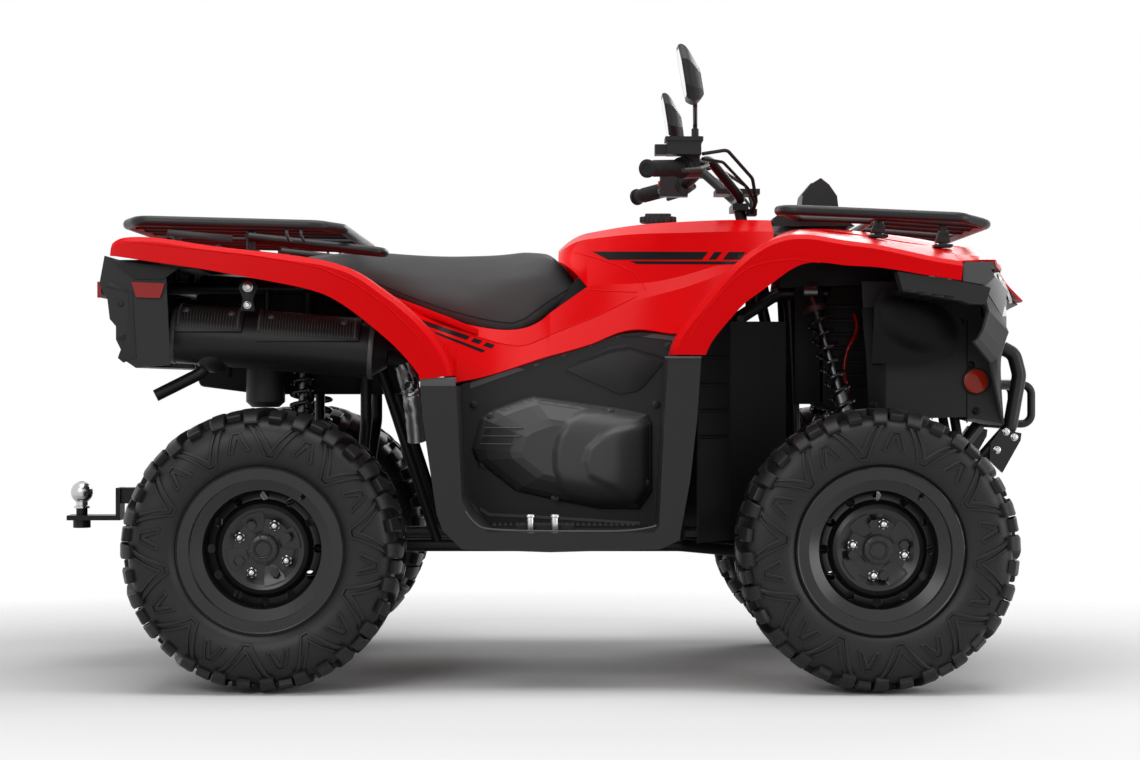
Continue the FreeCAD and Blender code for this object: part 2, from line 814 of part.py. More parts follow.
def front_arms():
    """Upper and lower wishbones. Their outer eyes hold the kingpins."""
    pieces = []
    tube_radius = size.arm_tube_radius
    for name, spread, pivot_y, pivot_z, eye_z in (
        ("lower", 66, lower_pivot_y, lower_pivot_z, lower_eye_z),
        ("upper", 52, upper_pivot_y, upper_pivot_z, upper_eye_z),
    ):
        eye_low = (front_axle, -kingpin_y, eye_z - size.arm_eye_height / 2)
        eye_high = (front_axle, -kingpin_y, eye_z + size.arm_eye_height / 2)
        legs = [rod(name + "_eye", eye_low, eye_high, size.arm_eye_radius)]
        for x in (-spread, spread):
            legs.append(rod(
                f"{name}_leg_{x}",
                (front_axle + x, -pivot_y, pivot_z),
                (front_axle + x / 8, -kingpin_y + size.arm_eye_radius - 4, eye_z),
                tube_radius - 1,
            ))
            legs.append(rod(
                f"{name}_bush_{x}",
                (front_axle + x - 22, -pivot_y, pivot_z),
                (front_axle + x + 22, -pivot_y, pivot_z),
                tube_radius,
            ))
        arm = doc.addObject("Part::MultiFuse", "front_arm_" + name)
        arm.Shapes = legs
        bore = rod(
            name + "_kingpin_bore",
            (front_axle, -kingpin_y, eye_z - size.arm_eye_height),
            (front_axle, -kingpin_y, eye_z + size.arm_eye_height),
            size.kingpin_radius + size.seat_gap,
        )
        pieces.append(cut("front_arm_bored_" + name, arm, bore))
    join("front_arms", both(pieces))


def rear_arms():
    pieces = []
    eye_y = rear_knuckle_y - size.seat_gap - 15
    for name, spread, pivot_y, pivot_z, eye_z in (
        ("lower", 66, lower_pivot_y, lower_pivot_z, at_z(250)),
        ("upper", 52, upper_pivot_y, upper_pivot_z, at_z(372)),
    ):
        legs = [rod(
            "rear_eye_" + name, (rear_axle - 24, -eye_y, eye_z), (rear_axle + 24, -eye_y, eye_z),
            15,
        )]
        for x in (-spread, spread):
            legs.append(rod(
                f"rear_{name}_leg_{x}",
                (rear_axle + x, -pivot_y, pivot_z),
                (rear_axle + x / 6, -eye_y + 4, eye_z),
                size.arm_tube_radius - 1,
            ))
            legs.append(rod(
                f"rear_{name}_bush_{x}",
                (rear_axle + x - 22, -pivot_y, pivot_z),
                (rear_axle + x + 22, -pivot_y, pivot_z),
                size.arm_tube_radius,
            ))
        arm = doc.addObject("Part::MultiFuse", "rear_arm_" + name)
        arm.Shapes = legs
        pieces.append(arm)
    join("rear_arms", both(pieces))


def rear_knuckles():
    inner = rear_knuckle_y
    pieces = [
        block("rear_upright", rear_axle - 26, -inner - 26, at_z(236), 52, 26, at_z(388) - at_z(236)),
        rod("rear_bearing", (rear_axle, -inner - 40, hub_z), (rear_axle, -inner, hub_z), 44),
        rod(
            "rear_spindle", (rear_axle, -rear_wheel_y - 12, hub_z), (rear_axle, -inner, hub_z),
            size.spindle_radius,
        ),
    ]
    upright = doc.addObject("Part::MultiFuse", "rear_knuckle_solid")
    upright.Shapes = pieces
    socket = rod("rear_socket", (rear_axle, -inner - 14, hub_z), (rear_axle, -inner + 1, hub_z), 20)
    join("rear_knuckles", both([cut("rear_knuckle_bored", upright, socket)]))


def half_shafts():
    pieces = []
    start = 96 + size.seat_gap
    ball_y = kingpin_y
    pieces.append(rod(
        "front_half_shaft", (front_axle, -ball_y, hub_z), (front_axle, -start, hub_z),
        size.shaft_radius,
    ))
    pieces.append(ball("front_joint_ball", front_axle, -ball_y, hub_z, size.joint_ball_radius))
    pieces.append(taper(
        "front_outer_boot", (front_axle, -ball_y + 40, hub_z), (front_axle, -ball_y + 92, hub_z),
        33, 16,
    ))
    pieces.append(taper(
        "front_inner_boot", (front_axle, -start - 4, hub_z), (front_axle, -start - 60, hub_z), 33,
        16,
    ))
    end = rear_knuckle_y + 13
    pieces.append(rod(
        "rear_half_shaft", (rear_axle, -end, hub_z), (rear_axle, -start, hub_z), size.shaft_radius,
    ))
    pieces.append(taper(
        "rear_outer_boot", (rear_axle, -rear_knuckle_y + 4, hub_z),
        (rear_axle, -rear_knuckle_y + 56, hub_z), 36, 16,
    ))
    pieces.append(taper(
        "rear_inner_boot", (rear_axle, -start - 4, hub_z), (rear_axle, -start - 60, hub_z), 33, 16,
    ))
    join("half_shafts", both(pieces))


def damper_line(top, bottom, share):
    """A point on the line from a damper's top eye to its bottom eye."""
    return tuple(a + (b - a) * share for a, b in zip(top, bottom))


def dampers_and_springs():
    bodies = []
    coils = []
    for name, top, bottom in (
        ("front", front_damper_top, front_damper_low),
        ("rear", rear_damper_top, rear_damper_low),
    ):
        for tag, spot in (("top", top), ("low", bottom)):
            bodies.append(rod(
                f"{name}_damper_eye_{tag}",
                (spot[0] - 15, spot[1], spot[2]),
                (spot[0] + 15, spot[1], spot[2]),
                damper_eye_radius,
            ))
        bodies.append(rod(
            name + "_damper_rod", damper_line(top, bottom, 0.03), damper_line(top, bottom, 0.6), 8,
        ))
        bodies.append(rod(
            name + "_damper_tube", damper_line(top, bottom, 0.5), damper_line(top, bottom, 0.97),
            size.damper_radius,
        ))
        bodies.append(rod(
            name + "_spring_cap", damper_line(top, bottom, 0.08), damper_line(top, bottom, 0.11),
            size.spring_radius,
        ))
        bodies.append(rod(
            name + "_spring_seat", damper_line(top, bottom, 0.78), damper_line(top, bottom, 0.81),
            size.spring_radius,
        ))
        high = damper_line(top, bottom, 0.112)
        low = damper_line(top, bottom, 0.778)
        coils.append(ring(
            name + "_spring", high, low, size.spring_radius, size.spring_radius - size.spring_wire,
        ))
    join("dampers", both(bodies))
    join("springs", both(coils))


def front_knuckle(side, name):
    """The steered upright: its pins turn in the wishbones' eyes, its ring holds the drive
    joint's ball, and the wheel turns on its spindle."""
    centre = kingpin_y * side
    out = side
    pin = size.kingpin_radius
    lower_top = lower_eye_z + size.arm_eye_height / 2 + size.knuckle_gap
    upper_low = upper_eye_z - size.arm_eye_height / 2 - size.knuckle_gap
    spindle_end = front_wheel_y * side + 10 * side
    arm_x = front_axle - size.steer_arm_length
    arm_y = (kingpin_y + size.steer_pin_y) * side
    arm_z = steer_eye_z - 18.5
    pieces = [
        rod(
            "knuckle_ring_" + name, (front_axle, centre - 12 * out, hub_z),
            (front_axle, centre + 34 * out, hub_z), 42,
        ),
        rod(
            "knuckle_spindle_" + name, (front_axle, centre + 30 * out, hub_z),
            (front_axle, spindle_end, hub_z), size.spindle_radius,
        ),
        rod(
            "knuckle_low_post_" + name, (front_axle, centre, lower_top),
            (front_axle, centre, hub_z - 30), 13,
        ),
        rod(
            "knuckle_high_post_" + name, (front_axle, centre, hub_z + 30),
            (front_axle, centre, upper_low), 13,
        ),
        rod(
            "knuckle_low_pin_" + name, (front_axle, centre, lower_eye_z - 14),
            (front_axle, centre, lower_top + 1), pin,
        ),
        rod(
            "knuckle_high_pin_" + name, (front_axle, centre, upper_low - 1),
            (front_axle, centre, upper_eye_z + 14), pin,
        ),
        rod("steer_arm_" + name, (front_axle - 30, centre + 10 * side, arm_z), (arm_x, arm_y, arm_z), 7),
        rod("steer_boss_" + name, (arm_x, arm_y, arm_z - 6), (arm_x, arm_y, arm_z + 6), 11),
        rod(
            "steer_pin_" + name, (arm_x, arm_y, arm_z), (arm_x, arm_y, steer_eye_z + 15),
            size.steer_pin_radius,
        ),
    ]
    solid = doc.addObject("Part::MultiFuse", "knuckle_solid_" + name)
    solid.Shapes = pieces
    socket = rod(
        "knuckle_socket_" + name,
        (front_axle, centre - 13 * out, hub_z),
        (front_axle, centre + 27 * out, hub_z),
        size.joint_ball_radius + size.seat_gap,
    )
    keep(cut("knuckle_front_" + name, solid, socket), "knuckle_front_" + name)


def tie_rod(side, name):
    """A link from the stem's arm to the knuckle's arm, at rest. Its outer eye is left free on
    its pin."""
    inner = steer_pin(side)
    outer = (front_axle - size.steer_arm_length, (kingpin_y + size.steer_pin_y) * side, steer_eye_z)
    lean = math.atan(stem_lean)
    up = (-math.sin(lean) * 6, 0, math.cos(lean) * 6)
    inner_low = tuple(a - b for a, b in zip(inner, up))
    inner_high = tuple(a + b for a, b in zip(inner, up))
    pieces = [
        rod("tie_bar_" + name, inner, outer, size.tie_rod_radius),
        rod("tie_inner_eye_" + name, inner_low, inner_high, 13),
        rod(
            "tie_outer_eye_" + name, (outer[0], outer[1], outer[2] - 7),
            (outer[0], outer[1], outer[2] + 7), 14,
        ),
    ]
    solid = doc.addObject("Part::MultiFuse", "tie_solid_" + name)
    solid.Shapes = pieces
    far_low = tuple(a - 4 * b for a, b in zip(inner, up))
    far_high = tuple(a + 4 * b for a, b in zip(inner, up))
    bores = doc.addObject("Part::MultiFuse", "tie_bores_" + name)
    bores.Shapes = [
        rod("tie_inner_bore_" + name, far_low, far_high, size.steer_pin_radius + size.seat_gap),
        rod(
            "tie_outer_bore_" + name, (outer[0], outer[1], outer[2] - 20),
            (outer[0], outer[1], outer[2] + 20), size.steer_pin_radius + 2,
        ),
    ]
    keep(cut("tie_rod_" + name, solid, bores), "tie_rod_" + name)


def steer_pin(side):
    """The middle of a tie rod's inner eye, on the pin of the stem's arm."""
    return along_stem(stem_low, size.steer_arm_length, 16, size.steer_pin_y * side)


def steering_stem():
    length_up = (at_z(1050) - stem_low) / math.cos(math.atan(stem_lean))
    arm_back = size.steer_arm_length
    pieces = [
        rod("stem_bar", stem_at(stem_low), along_stem(stem_low, 0, length_up), size.stem_radius),
        rod("stem_hub", stem_at(stem_low), along_stem(stem_low, 0, 22), 20),
    ]
    arm = level_plate("pitman", [
        (0, -20),
        (-size.steer_arm_length - 12, -size.steer_pin_y - 10),
        (-size.steer_arm_length - 12, size.steer_pin_y + 10),
        (0, 20),
    ], 0, 7)
    place(arm, *stem_at(stem_low), Rotation(Vector(0, 1, 0), -math.degrees(math.atan(stem_lean))))
    pieces.append(arm)
    for side, name in ((-1, "right"), (1, "left")):
        low = along_stem(stem_low, arm_back, 6, size.steer_pin_y * side)
        high = along_stem(stem_low, arm_back, 25, size.steer_pin_y * side)
        pieces.append(rod("stem_pin_" + name, low, high, size.steer_pin_radius))
    top = along_stem(stem_low, 0, length_up)
    clamp = block("stem_clamp", top[0] - 18, -64, top[2] - 10, 36, 128, 15)
    pieces.append(clamp)
    join("steering_stem", pieces)


def handlebar():
    """The bar, bent up and back from its clamp on the stem."""
    bar = tube("bar_half", [
        (bar_x, 0, bar_z),
        (bar_x, -70, bar_z),
        (bar_x - 78, -150, bar_z + 82),
        bar_bend,
        bar_tip,
    ], 40, size.bar_radius)
    join("handlebar", both([bar]))


def grip_point(share):
    """A point along the straight grip end of the bar: 0 at its inner end, 1 at its tip."""
    return tuple(a + (b - a) * share for a, b in zip(bar_bend, bar_tip))


def grips():
    bore = size.bar_radius + size.seat_gap
    grip = ring("grip", grip_point(0.37), grip_point(1.0), size.grip_radius, bore)
    end = rod("grip_end", grip_point(1.003), grip_point(1.03), size.grip_radius)
    flange = ring("grip_flange", grip_point(0.36), grip_point(0.385), size.grip_radius + 6, bore)
    grip_solid = doc.addObject("Part::MultiFuse", "grip_solid")
    grip_solid.Shapes = [grip, flange]
    join("grips", both([grip_solid, end]))


def control_housings():
    """Switch boxes round the bar, the brake fluid boxes on them, the levers and the cover
    over the middle of the bar."""
    housing = both([rod("switch_housing", grip_point(0.08), grip_point(0.355), 24)])
    right = [
        block("right_clamp", bar_x - 139, -262, bar_z + 54, 36, 32, 60),
        block("right_reservoir", bar_x - 177, -318, bar_z + 76, 74, 60, 30),
        block("right_reservoir_lid", bar_x - 181, -322, bar_z + 105, 82, 68, 9),
        block("throttle_box", bar_x - 203, -310, bar_z + 76, 30, 44, 22),
    ]
    left = [
        block("left_switch_box", bar_x - 172, 212, bar_z + 26, 66, 34, 56),
        block("left_clamp", bar_x - 139, 230, bar_z + 54, 36, 32, 60),
        block("left_reservoir", bar_x - 160, 250, bar_z + 78, 58, 44, 24),
    ]
    lever = tube("lever", [
        (bar_x - 118, -246, bar_z + 64),
        (bar_x - 82, -262, bar_z + 57),
        (bar_x - 108, -335, bar_z + 42),
        (bar_x - 146, -394, bar_z + 34),
    ], 25, 5)
    low = bar_z + size.bar_radius + size.seat_gap
    cover = block("bar_cover", bar_x - 55, -50, low, 100, 100, 12)
    solid = doc.addObject("Part::MultiFuse", "controls_solid")
    solid.Shapes = housing + right + left + both([lever]) + [cover]
    bores = both([rod("bar_bore", grip_point(-0.3), grip_point(1.1), size.bar_radius + size.seat_gap)])
    bored = doc.addObject("Part::MultiFuse", "controls_bores")
    bored.Shapes = bores
    keep(cut("controls_bored", solid, bored), "control_housings")


def control_cables():
    """Brake hoses and control cables, from the housings to the guide before the stem."""
    guide_x = bar_x + 18 + size.seat_gap
    cables = [
        tube("cable_outer", [
            (bar_x - 96, -240, bar_z + 84),
            (bar_x - 40, -204, bar_z + 96),
            (bar_x + 24, -100, bar_z + 42),
            (bar_x + 36, -58, bar_z - 6),
            (bar_x + 30, -12, bar_z - 30),
        ], 30, 4),
        tube("cable_inner", [
            (bar_x - 96, -234, bar_z + 74),
            (bar_x - 48, -192, bar_z + 70),
            (bar_x + 14, -98, bar_z + 20),
            (bar_x + 34, -60, bar_z - 12),
            (bar_x + 28, -18, bar_z - 32),
        ], 30, 3.5),
    ]
    guide = block("cable_guide", guide_x, -26, bar_z - 35, 22, 52, 14)
    join("control_cables", both(cables) + [guide])


def mirrors():
    """Stalks from the control housings, each with a deep shell that tapers forward."""
    sleeve_x = bar_x - 113
    sleeve_low = bar_z + 114 + size.seat_gap
    sleeve = rod("mirror_sleeve", (sleeve_x, -247, sleeve_low), (sleeve_x, -247, bar_z + 138), 8)
    stalk = tube("mirror_stalk", [
        (sleeve_x, -247, bar_z + 136),
        (sleeve_x, -252, bar_z + 150),
        (sleeve_x - 8, -400, bar_z + 172),
        (sleeve_x - 12, -428, bar_z + 196),
    ], 25, 5)
    glass_x = bar_x - 151
    glass_z = bar_z + 236
    lean = (-19, 116)
    shapes = [
        (0, 0, [(-60, -30), (-42, -58), (30, -58), (62, -20), (66, 30), (40, 58), (-30, 56), (-62, 22)]),
        (10, -2, [(-64, -32), (-46, -62), (32, -62), (66, -22), (70, 32), (43, 61), (-34, 59), (-66, 24)]),
        (28, -8, [(-52, -30), (-38, -52), (26, -52), (54, -18), (56, 24), (34, 42), (-28, 40), (-52, 16)]),
        (40, -12, [(-30, -22), (-24, -36), (16, -36), (32, -14), (34, 12), (20, 22), (-16, 20), (-30, 8)]),
    ]
    head = loft("mirror_head", [
        ((glass_x + ahead, glass_z + lower), lean, [(y - 432, up) for y, up in outline])
        for ahead, lower, outline in shapes
    ])
    join("mirrors", both([sleeve, stalk, head]))


# Bodywork

def fender_section(inner_y, inner_rise, depth):
    half = size.fender_half_width
    return wall([
        (inner_y, inner_rise),
        (half - 70, inner_rise * 0.3 + 4),
        (half - 12, 2),
        (half - 2, -8),
        (half, -depth),
    ], size.panel_wall)


def fender(label, stations):
    """A fender swept over its wheel. Each station has the crease's place and the lower edge's
    place, both in X and Z, and how far in and how high the surface starts."""
    planes = []
    for top_x, top_z, low_x, low_z, inner_y, inner_rise in stations:
        depth = math.hypot(top_x - low_x, top_z - low_z)
        planes.append((
            (at_x(top_x), at_z(top_z)),
            (top_x - low_x, top_z - low_z),
            fender_section(inner_y, inner_rise, depth),
        ))
    return loft(label, planes)


def rear_body():
    """Both rear fenders and the deck between them, one moulding."""
    inner = size.body_half_width + 6
    side = fender("rear_fender", [
        (-905, 936, -907, 913, 200, -2),
        (-869, 950, -865, 907, 200, -12),
        (-719, 935, -722, 886, 200, -4),
        (-615, 922, -620, 868, 200, 4),
        (-511, 908, -520, 849, 205, 8),
        (-445, 896, -466, 834, 240, 2),
        (-386, 872, -422, 811, inner, 0),
        (-344, 843, -386, 785, inner, 0),
        (-302, 812, -344, 751, inner, 0),
        (-261, 774, -306, 716, inner, 0),
        (-226, 732, -277, 683, inner, 0),
        (-203, 690, -264, 664, inner, 0),
        (-196, 662, -262, 655, inner, 0),
    ])
    deck = level_plate("rear_deck", [
        (at_x(-900), -204),
        (at_x(-570), -204),
        (at_x(-570), 204),
        (at_x(-900), 204),
    ], at_z(929), size.panel_wall)
    join("rear_body", both([side]) + [deck])


def front_body():
    """Both front fenders and the hood with its beak, one moulding."""
    inner = size.body_half_width + 6
    side = fender("front_fender", [
        (266, 706, 335, 706, inner, 0),
        (281, 748, 349, 735, inner, 0),
        (323, 803, 375, 768, inner, 0),
        (365, 854, 406, 803, inner, 0),
        (417, 908, 448, 837, inner, 0),
        (469, 942, 490, 868, inner, 4),
        (531, 956, 537, 895, 240, 24),
        (594, 949, 594, 897, 230, 34),
        (677, 937, 677, 890, 230, 36),
        (761, 920, 757, 879, 230, 40),
        (844, 904, 840, 866, 230, 46),
        (872, 899, 868, 861, 230, 48),
    ])
    hood = loft("hood", [
        ((at_x(x), at_z(z)), (0, 1), wall([(0, 0), (120, -4), (edge, drop)], size.panel_wall))
        for x, z, edge, drop in (
            (531, 990, 242, -12),
            (616, 998, 232, -15),
            (701, 992, 232, -20),
            (786, 982, 232, -24),
            (872, 968, 232, -22),
        )
    ])
    nose = side_loft("nose_skin", [(y, strip(line, 3, 3.5)) for y, line in (
        (0, [(866, 969.5), (930, 959), (985, 935), (1040, 880), (1091, 836)]),
        (60, [(866, 967.5), (930, 957), (985, 931), (1035, 876), (1080, 834)]),
        (150, [(866, 961), (930, 951), (980, 926), (1010, 896), (1022, 872)]),
        (232, [(866, 948), (930, 944), (970, 929), (990, 905), (997, 888)]),
        (330, [(866, 934), (930, 930), (962, 919), (979, 902), (983, 892)]),
        (430, [(866, 919.5), (920, 915), (945, 908), (955, 900), (957, 895)]),
        (486, [(866, 903), (905, 905), (925, 905.5), (940, 905), (943, 903.5)]),
    )])
    join("front_body", both([side, hood, nose]))


def tank_cover():
    """The painted cover over the tank, with the strips that run back beside the seat."""
    edge = size.seat_half_width + 15
    half = size.body_half_width
    strips = [
        loft(name, [
            (
                (at_x(x), at_z(z)), (0, 1),
                wall([(edge, rise), (edge + 28, 0), (half, -drop)], size.panel_wall),
            )
            for x, z, rise, drop in stations
        ])
        for name, stations in (
            (
                "strip_behind",
                (
                    (-400, 880, 6, 4), (-330, 826, 8, 6), (-270, 795, 12, 14), (-235, 777, 15, 34),
                    (-212, 768, 17, 66), (-196, 762, 18, 112),
                ),
            ),
            (
                "strip_beside",
                ((-196, 762, 18, 112), (-102, 737, 28, 66), (-36, 733, 40, 40), (8, 753, 50, 46)),
            ),
            ("strip_ahead", ((8, 753, 50, 46), (50, 770, 62, 52), (90, 786, 74, 56))),
        )
    ]
    top = loft("tank_back", [
        (
            (at_x(x), at_z(z)), (0, 1),
            wall([(0, 0), (mid, -4), (knee, -low), (edge, -drop)], size.panel_wall),
        )
        for x, z, mid, knee, low, drop in (
            (26, 950, 70, 120, 12, 34),
            (60, 978, 75, 140, 18, 84),
            (90, 990, 80, 150, 22, 130),
        )
    ])
    front = loft("tank_front", [
        (
            (at_x(x), at_z(z)),
            (0, 1),
            wall(
                [(0, 0), (mid, -4), (knee, -low), (edge, -drop), (edge + 28, -crease), (half, -skirt)],
                size.panel_wall,
            ),
        )
        for x, z, mid, knee, low, drop, crease, skirt in (
            (90, 990, 80, 150, 22, 130, 204, 260),
            (160, 1002, 90, 160, 26, 136, 186, 244),
            (230, 1010, 100, 170, 30, 140, 172, 248),
            (300, 1014, 106, 175, 33, 130, 158, 256),
            (370, 1017, 112, 180, 34, 112, 136, 204),
            (440, 1018, 115, 182, 34, 90, 110, 140),
            (503, 1017, 115, 182, 34, 60, 70, 86),
        )
    ])
    shell = doc.addObject("Part::MultiFuse", "tank_shell")
    shell.Shapes = both(strips + [top, front])
    hole = rod(
        "tank_stem_hole",
        along_stem(at_z(1015), 0, -60),
        along_stem(at_z(1015), 0, 60),
        size.stem_radius + 12,
    )
    keep(cut("tank_cover", shell, hole), "tank_cover")


def seat():
    half = size.seat_half_width

    def section(width, top, side, low):
        right = [(-width, low), (-width, side), (-width + 28, top - 10), (-width / 2, top - 1)]
        left = [(-y, up) for y, up in reversed(right)]
        return right + [(0, top)] + left

    body = loft("seat_pad", [
        ((at_x(x), at_z(low)), (0, 1), section(half - inset, top - low, side - low, 0))
        for x, low, side, top, inset in (
            (-556, 901, 915, 931, 30),
            (-500, 897, 911, 929, 20),
            (-445, 888, 903, 927, 12),
            (-385, 867, 897, 924, 4),
            (-320, 836, 891, 919, 0),
            (-250, 802, 886, 915, 0),
            (-177, 774, 884, 915, 0),
            (-110, 757, 884, 918, 0),
            (-50, 762, 888, 927, 3),
            (4, 799, 884, 943, 14),
        )
    ])
    nose = loft("seat_nose", [
        ((at_x(x), at_z(low)), (0, 1), section(half - inset, top - low, side - low, 0))
        for x, low, side, top, inset in (
            (4, 799, 884, 943, 14),
            (20, 812, 874, 928, 16),
            (52, 834, 858, 893, 20),
            (76, 852, 862, 869, 24),
        )
    ])
    join("seat", [body, nose])


def side_outline():
    """The side panel, which runs up behind the tank's cover and down past the floor."""
    floor = at_z(FLOOR - 3)
    return [(at_x(x), at_z(z)) for x, z in (
        (-186, 644),
        (-60, 684),
        (30, 711),
        (161, 754),
        (205, 758),
        (292, 752),
        (284, 700),
        (250, 507),
    )] + [(at_x(240), floor), (at_x(-122), floor)] + [(at_x(-144), at_z(362)), (at_x(-172), at_z(400))]


def side_panels():
    panel = plate("side_panel", side_outline(), panel_face - size.panel_wall, panel_face)
    join("side_panels", both([panel]))


def dome(label, outline, centre, steps):
    """A moulding that rises from its outline in steps of depth and share of its size."""
    return side_loft(label, [
        (
            y,
            [
                (centre[0] + (x - centre[0]) * share, centre[1] + (z - centre[1]) * share)
                for x, z in outline
            ],
        )
        for y, share in steps
    ])


def side_covers():
    """The drive belt's cover on the right and the service cover on the left."""
    face = panel_face + size.seat_gap
    outline = [
        (-143, 571), (-115, 590), (-52, 613), (-28, 619), (152, 594), (222, 580), (232, 560),
        (232, 410),
    ]
    outline += [(205, 372), (117, 372), (30, 389), (-67, 411), (-155, 480), (-163, 505)]
    centre = (60, 490)
    cover = dome(
        "belt_cover", outline, centre,
        [(face, 1), (face + 14, 0.97), (face + 30, 0.86), (face + 50, 0.62), (face + 55, 0.5)],
    )
    join("side_covers", both([cover]))


def footwell():
    """Leg shield and floor, one moulding for each side."""
    outer = [
        (-261, 641), (-255, 570), (-240, 465), (-226, 372), (-214, 340), (-174, 300), (10, 294),
        (240, 300),
    ]
    outer += [(280, 319), (303, 445), (317, 570), (326, 700)]
    wall_size = size.moulding_wall
    floor = at_z(FLOOR)
    front = [(at_x(257), at_z(700)), (at_x(246), at_z(507)), (at_x(238), at_z(346)), (at_x(226), floor)]
    back = [(at_x(-118), floor), (at_x(-157), at_z(372)), (at_x(-174), at_z(403)), (at_x(-186), at_z(641))]
    lining = [(x + wall_size, z) for x, z in front[:3]] + [(at_x(229), floor - wall_size)]
    lining += [(at_x(-121), floor - wall_size)] + [(x - wall_size, z) for x, z in back[1:]]
    band = plate(
        "foot_band",
        [(at_x(x), at_z(z)) for x, z in outer] + front + back,
        size.fender_half_width - 32,
        size.fender_half_width - 4,
    )
    tray = plate(
        "foot_tray",
        front + back + lining[::-1],
        panel_face + size.seat_gap,
        size.fender_half_width - 31,
    )
    right = join("footwell_right", [band, tray])
    keep(mirrored(right), "footwell_left")


def foot_pegs():
    peg = block(
        "foot_peg", at_x(-60), -size.fender_half_width + 70, at_z(FLOOR) + size.seat_gap, 120, 110,
        12,
    )
    join("foot_pegs", both([peg]))


def front_liners():
    """The walls behind the front wheels, set clear of the tyres at full lock."""
    plan = [
        (front_axle - 366, 324), (front_axle - 366, 298), (front_axle - 290, 190),
        (front_axle - 165, 170),
    ]
    back = [
        (front_axle - 165, 166), (front_axle - 293, 186), (front_axle - 370, 296),
        (front_axle - 370, 324),
    ]
    liner = level_plate("front_liner", plan + back, at_z(300), at_z(784) - at_z(300))
    join("front_liners", both([liner]))


# The silencer falls toward the front by this much for each millimetre
CAN_SLOPE = 36 / 448


def exhaust():
    """The silencer under the right rear fender with its pipes."""
    can_y = -330
    radius = size.muffler_radius

    def on_axis(x):
        return (at_x(x), can_y, at_z(751.4 - (x + 800) * CAN_SLOPE))

    can = rod("silencer_can", on_axis(-800), on_axis(-372), radius)
    rear_cone = taper("silencer_rear_cone", on_axis(-797), on_axis(-813), radius - 0.5, radius - 9)
    front_cone = taper("silencer_front_cone", on_axis(-376), on_axis(-340), radius - 0.5, 34)
    outlet = ball("silencer_outlet", at_x(-715), can_y, at_z(716), 46)
    shields = []
    for name, start, end in (("rear", -790, -650), ("front", -618, -400)):
        low = on_axis(end)[2] + 18
        sleeve = ring("shield_sleeve_" + name, on_axis(start), on_axis(end), radius + 8, radius - 2)
        keeper = block(
            "shield_keeper_" + name, at_x(start - 9), can_y - 75, low, at_x(end) - at_x(start - 18),
            95, 90,
        )
        shield = doc.addObject("Part::Common", "heat_shield_" + name)
        shield.Base = sleeve
        shield.Tool = keeper
        shields.append(shield)
    tail = tube("tail_pipe", [
        (at_x(-700), can_y, at_z(715)),
        (at_x(-745), can_y, at_z(668)),
        (at_x(-838), can_y - 20, at_z(620)),
    ], 40, 13)
    header = tube("header_pipe", [
        (at_x(-60) - size.seat_gap, -60, at_z(642)),
        (at_x(-160), -60, at_z(642)),
        (at_x(-268), -170, at_z(600)),
        (at_x(-284), -238, at_z(520)),
        (at_x(-292), -262, at_z(620)),
        (at_x(-312), -290, at_z(700)),
        (at_x(-400), can_y, at_z(718)),
    ], 40, 19)
    join("exhaust", [can, rear_cone, front_cone, outlet, tail, header] + shields)


def air_canister():
    """The breather box that hangs behind the right rear spring."""
    x = at_x(-622)
    y = -rail_out
    pieces = [
        rod("canister_body", (x, y, at_z(606)), (x, y, at_z(678)), 43),
        taper("canister_top", (x, y, at_z(678)), (x, y, at_z(688)), 43, 33),
        taper("canister_foot", (x, y, at_z(594)), (x, y, at_z(606)), 30, 43),
    ]
    join("air_canister", pieces)


def rear_rack():
    """A tube hoop on legs, with bars across it, over the rear deck."""
    half = size.rack_half_width
    z = at_z(987)
    loop = tube("rear_rack_loop", [
        (at_x(-434), 0, z - 10),
        (at_x(-434), half - 60, z - 10),
        (at_x(-480), half, z - 6),
        (at_x(-860), half, z + 4),
        (at_x(-895), half - 60, z),
        (at_x(-895), 0, z),
    ], 40, size.rack_tube_radius)
    bars = [
        rod(f"rear_rack_bar_{y}", (at_x(-890), y, z), (at_x(-438), y, z - 9), size.rack_bar_radius)
        for y in (90, 200, 310)
    ]
    legs = [
        rod("rear_rack_leg_1", (at_x(-800), 300, z), (at_x(-800), 300, at_z(943.9)), 9),
        rod("rear_rack_leg_2", (at_x(-640), 300, z), (at_x(-640), 300, at_z(929.3)), 9),
    ]
    hand = tube("grab_loop", [
        (at_x(-640), 334, at_z(962)),
        (at_x(-352), 334, at_z(931)),
        (at_x(-352), 246, at_z(931)),
        (at_x(-640), 246, at_z(962)),
    ], 30, 9)
    tie = rod("grab_loop_tie", (at_x(-640), 246, at_z(962)), (at_x(-640), 334, at_z(962)), 9)
    join("rear_rack", both([loop, hand, tie] + bars + legs))


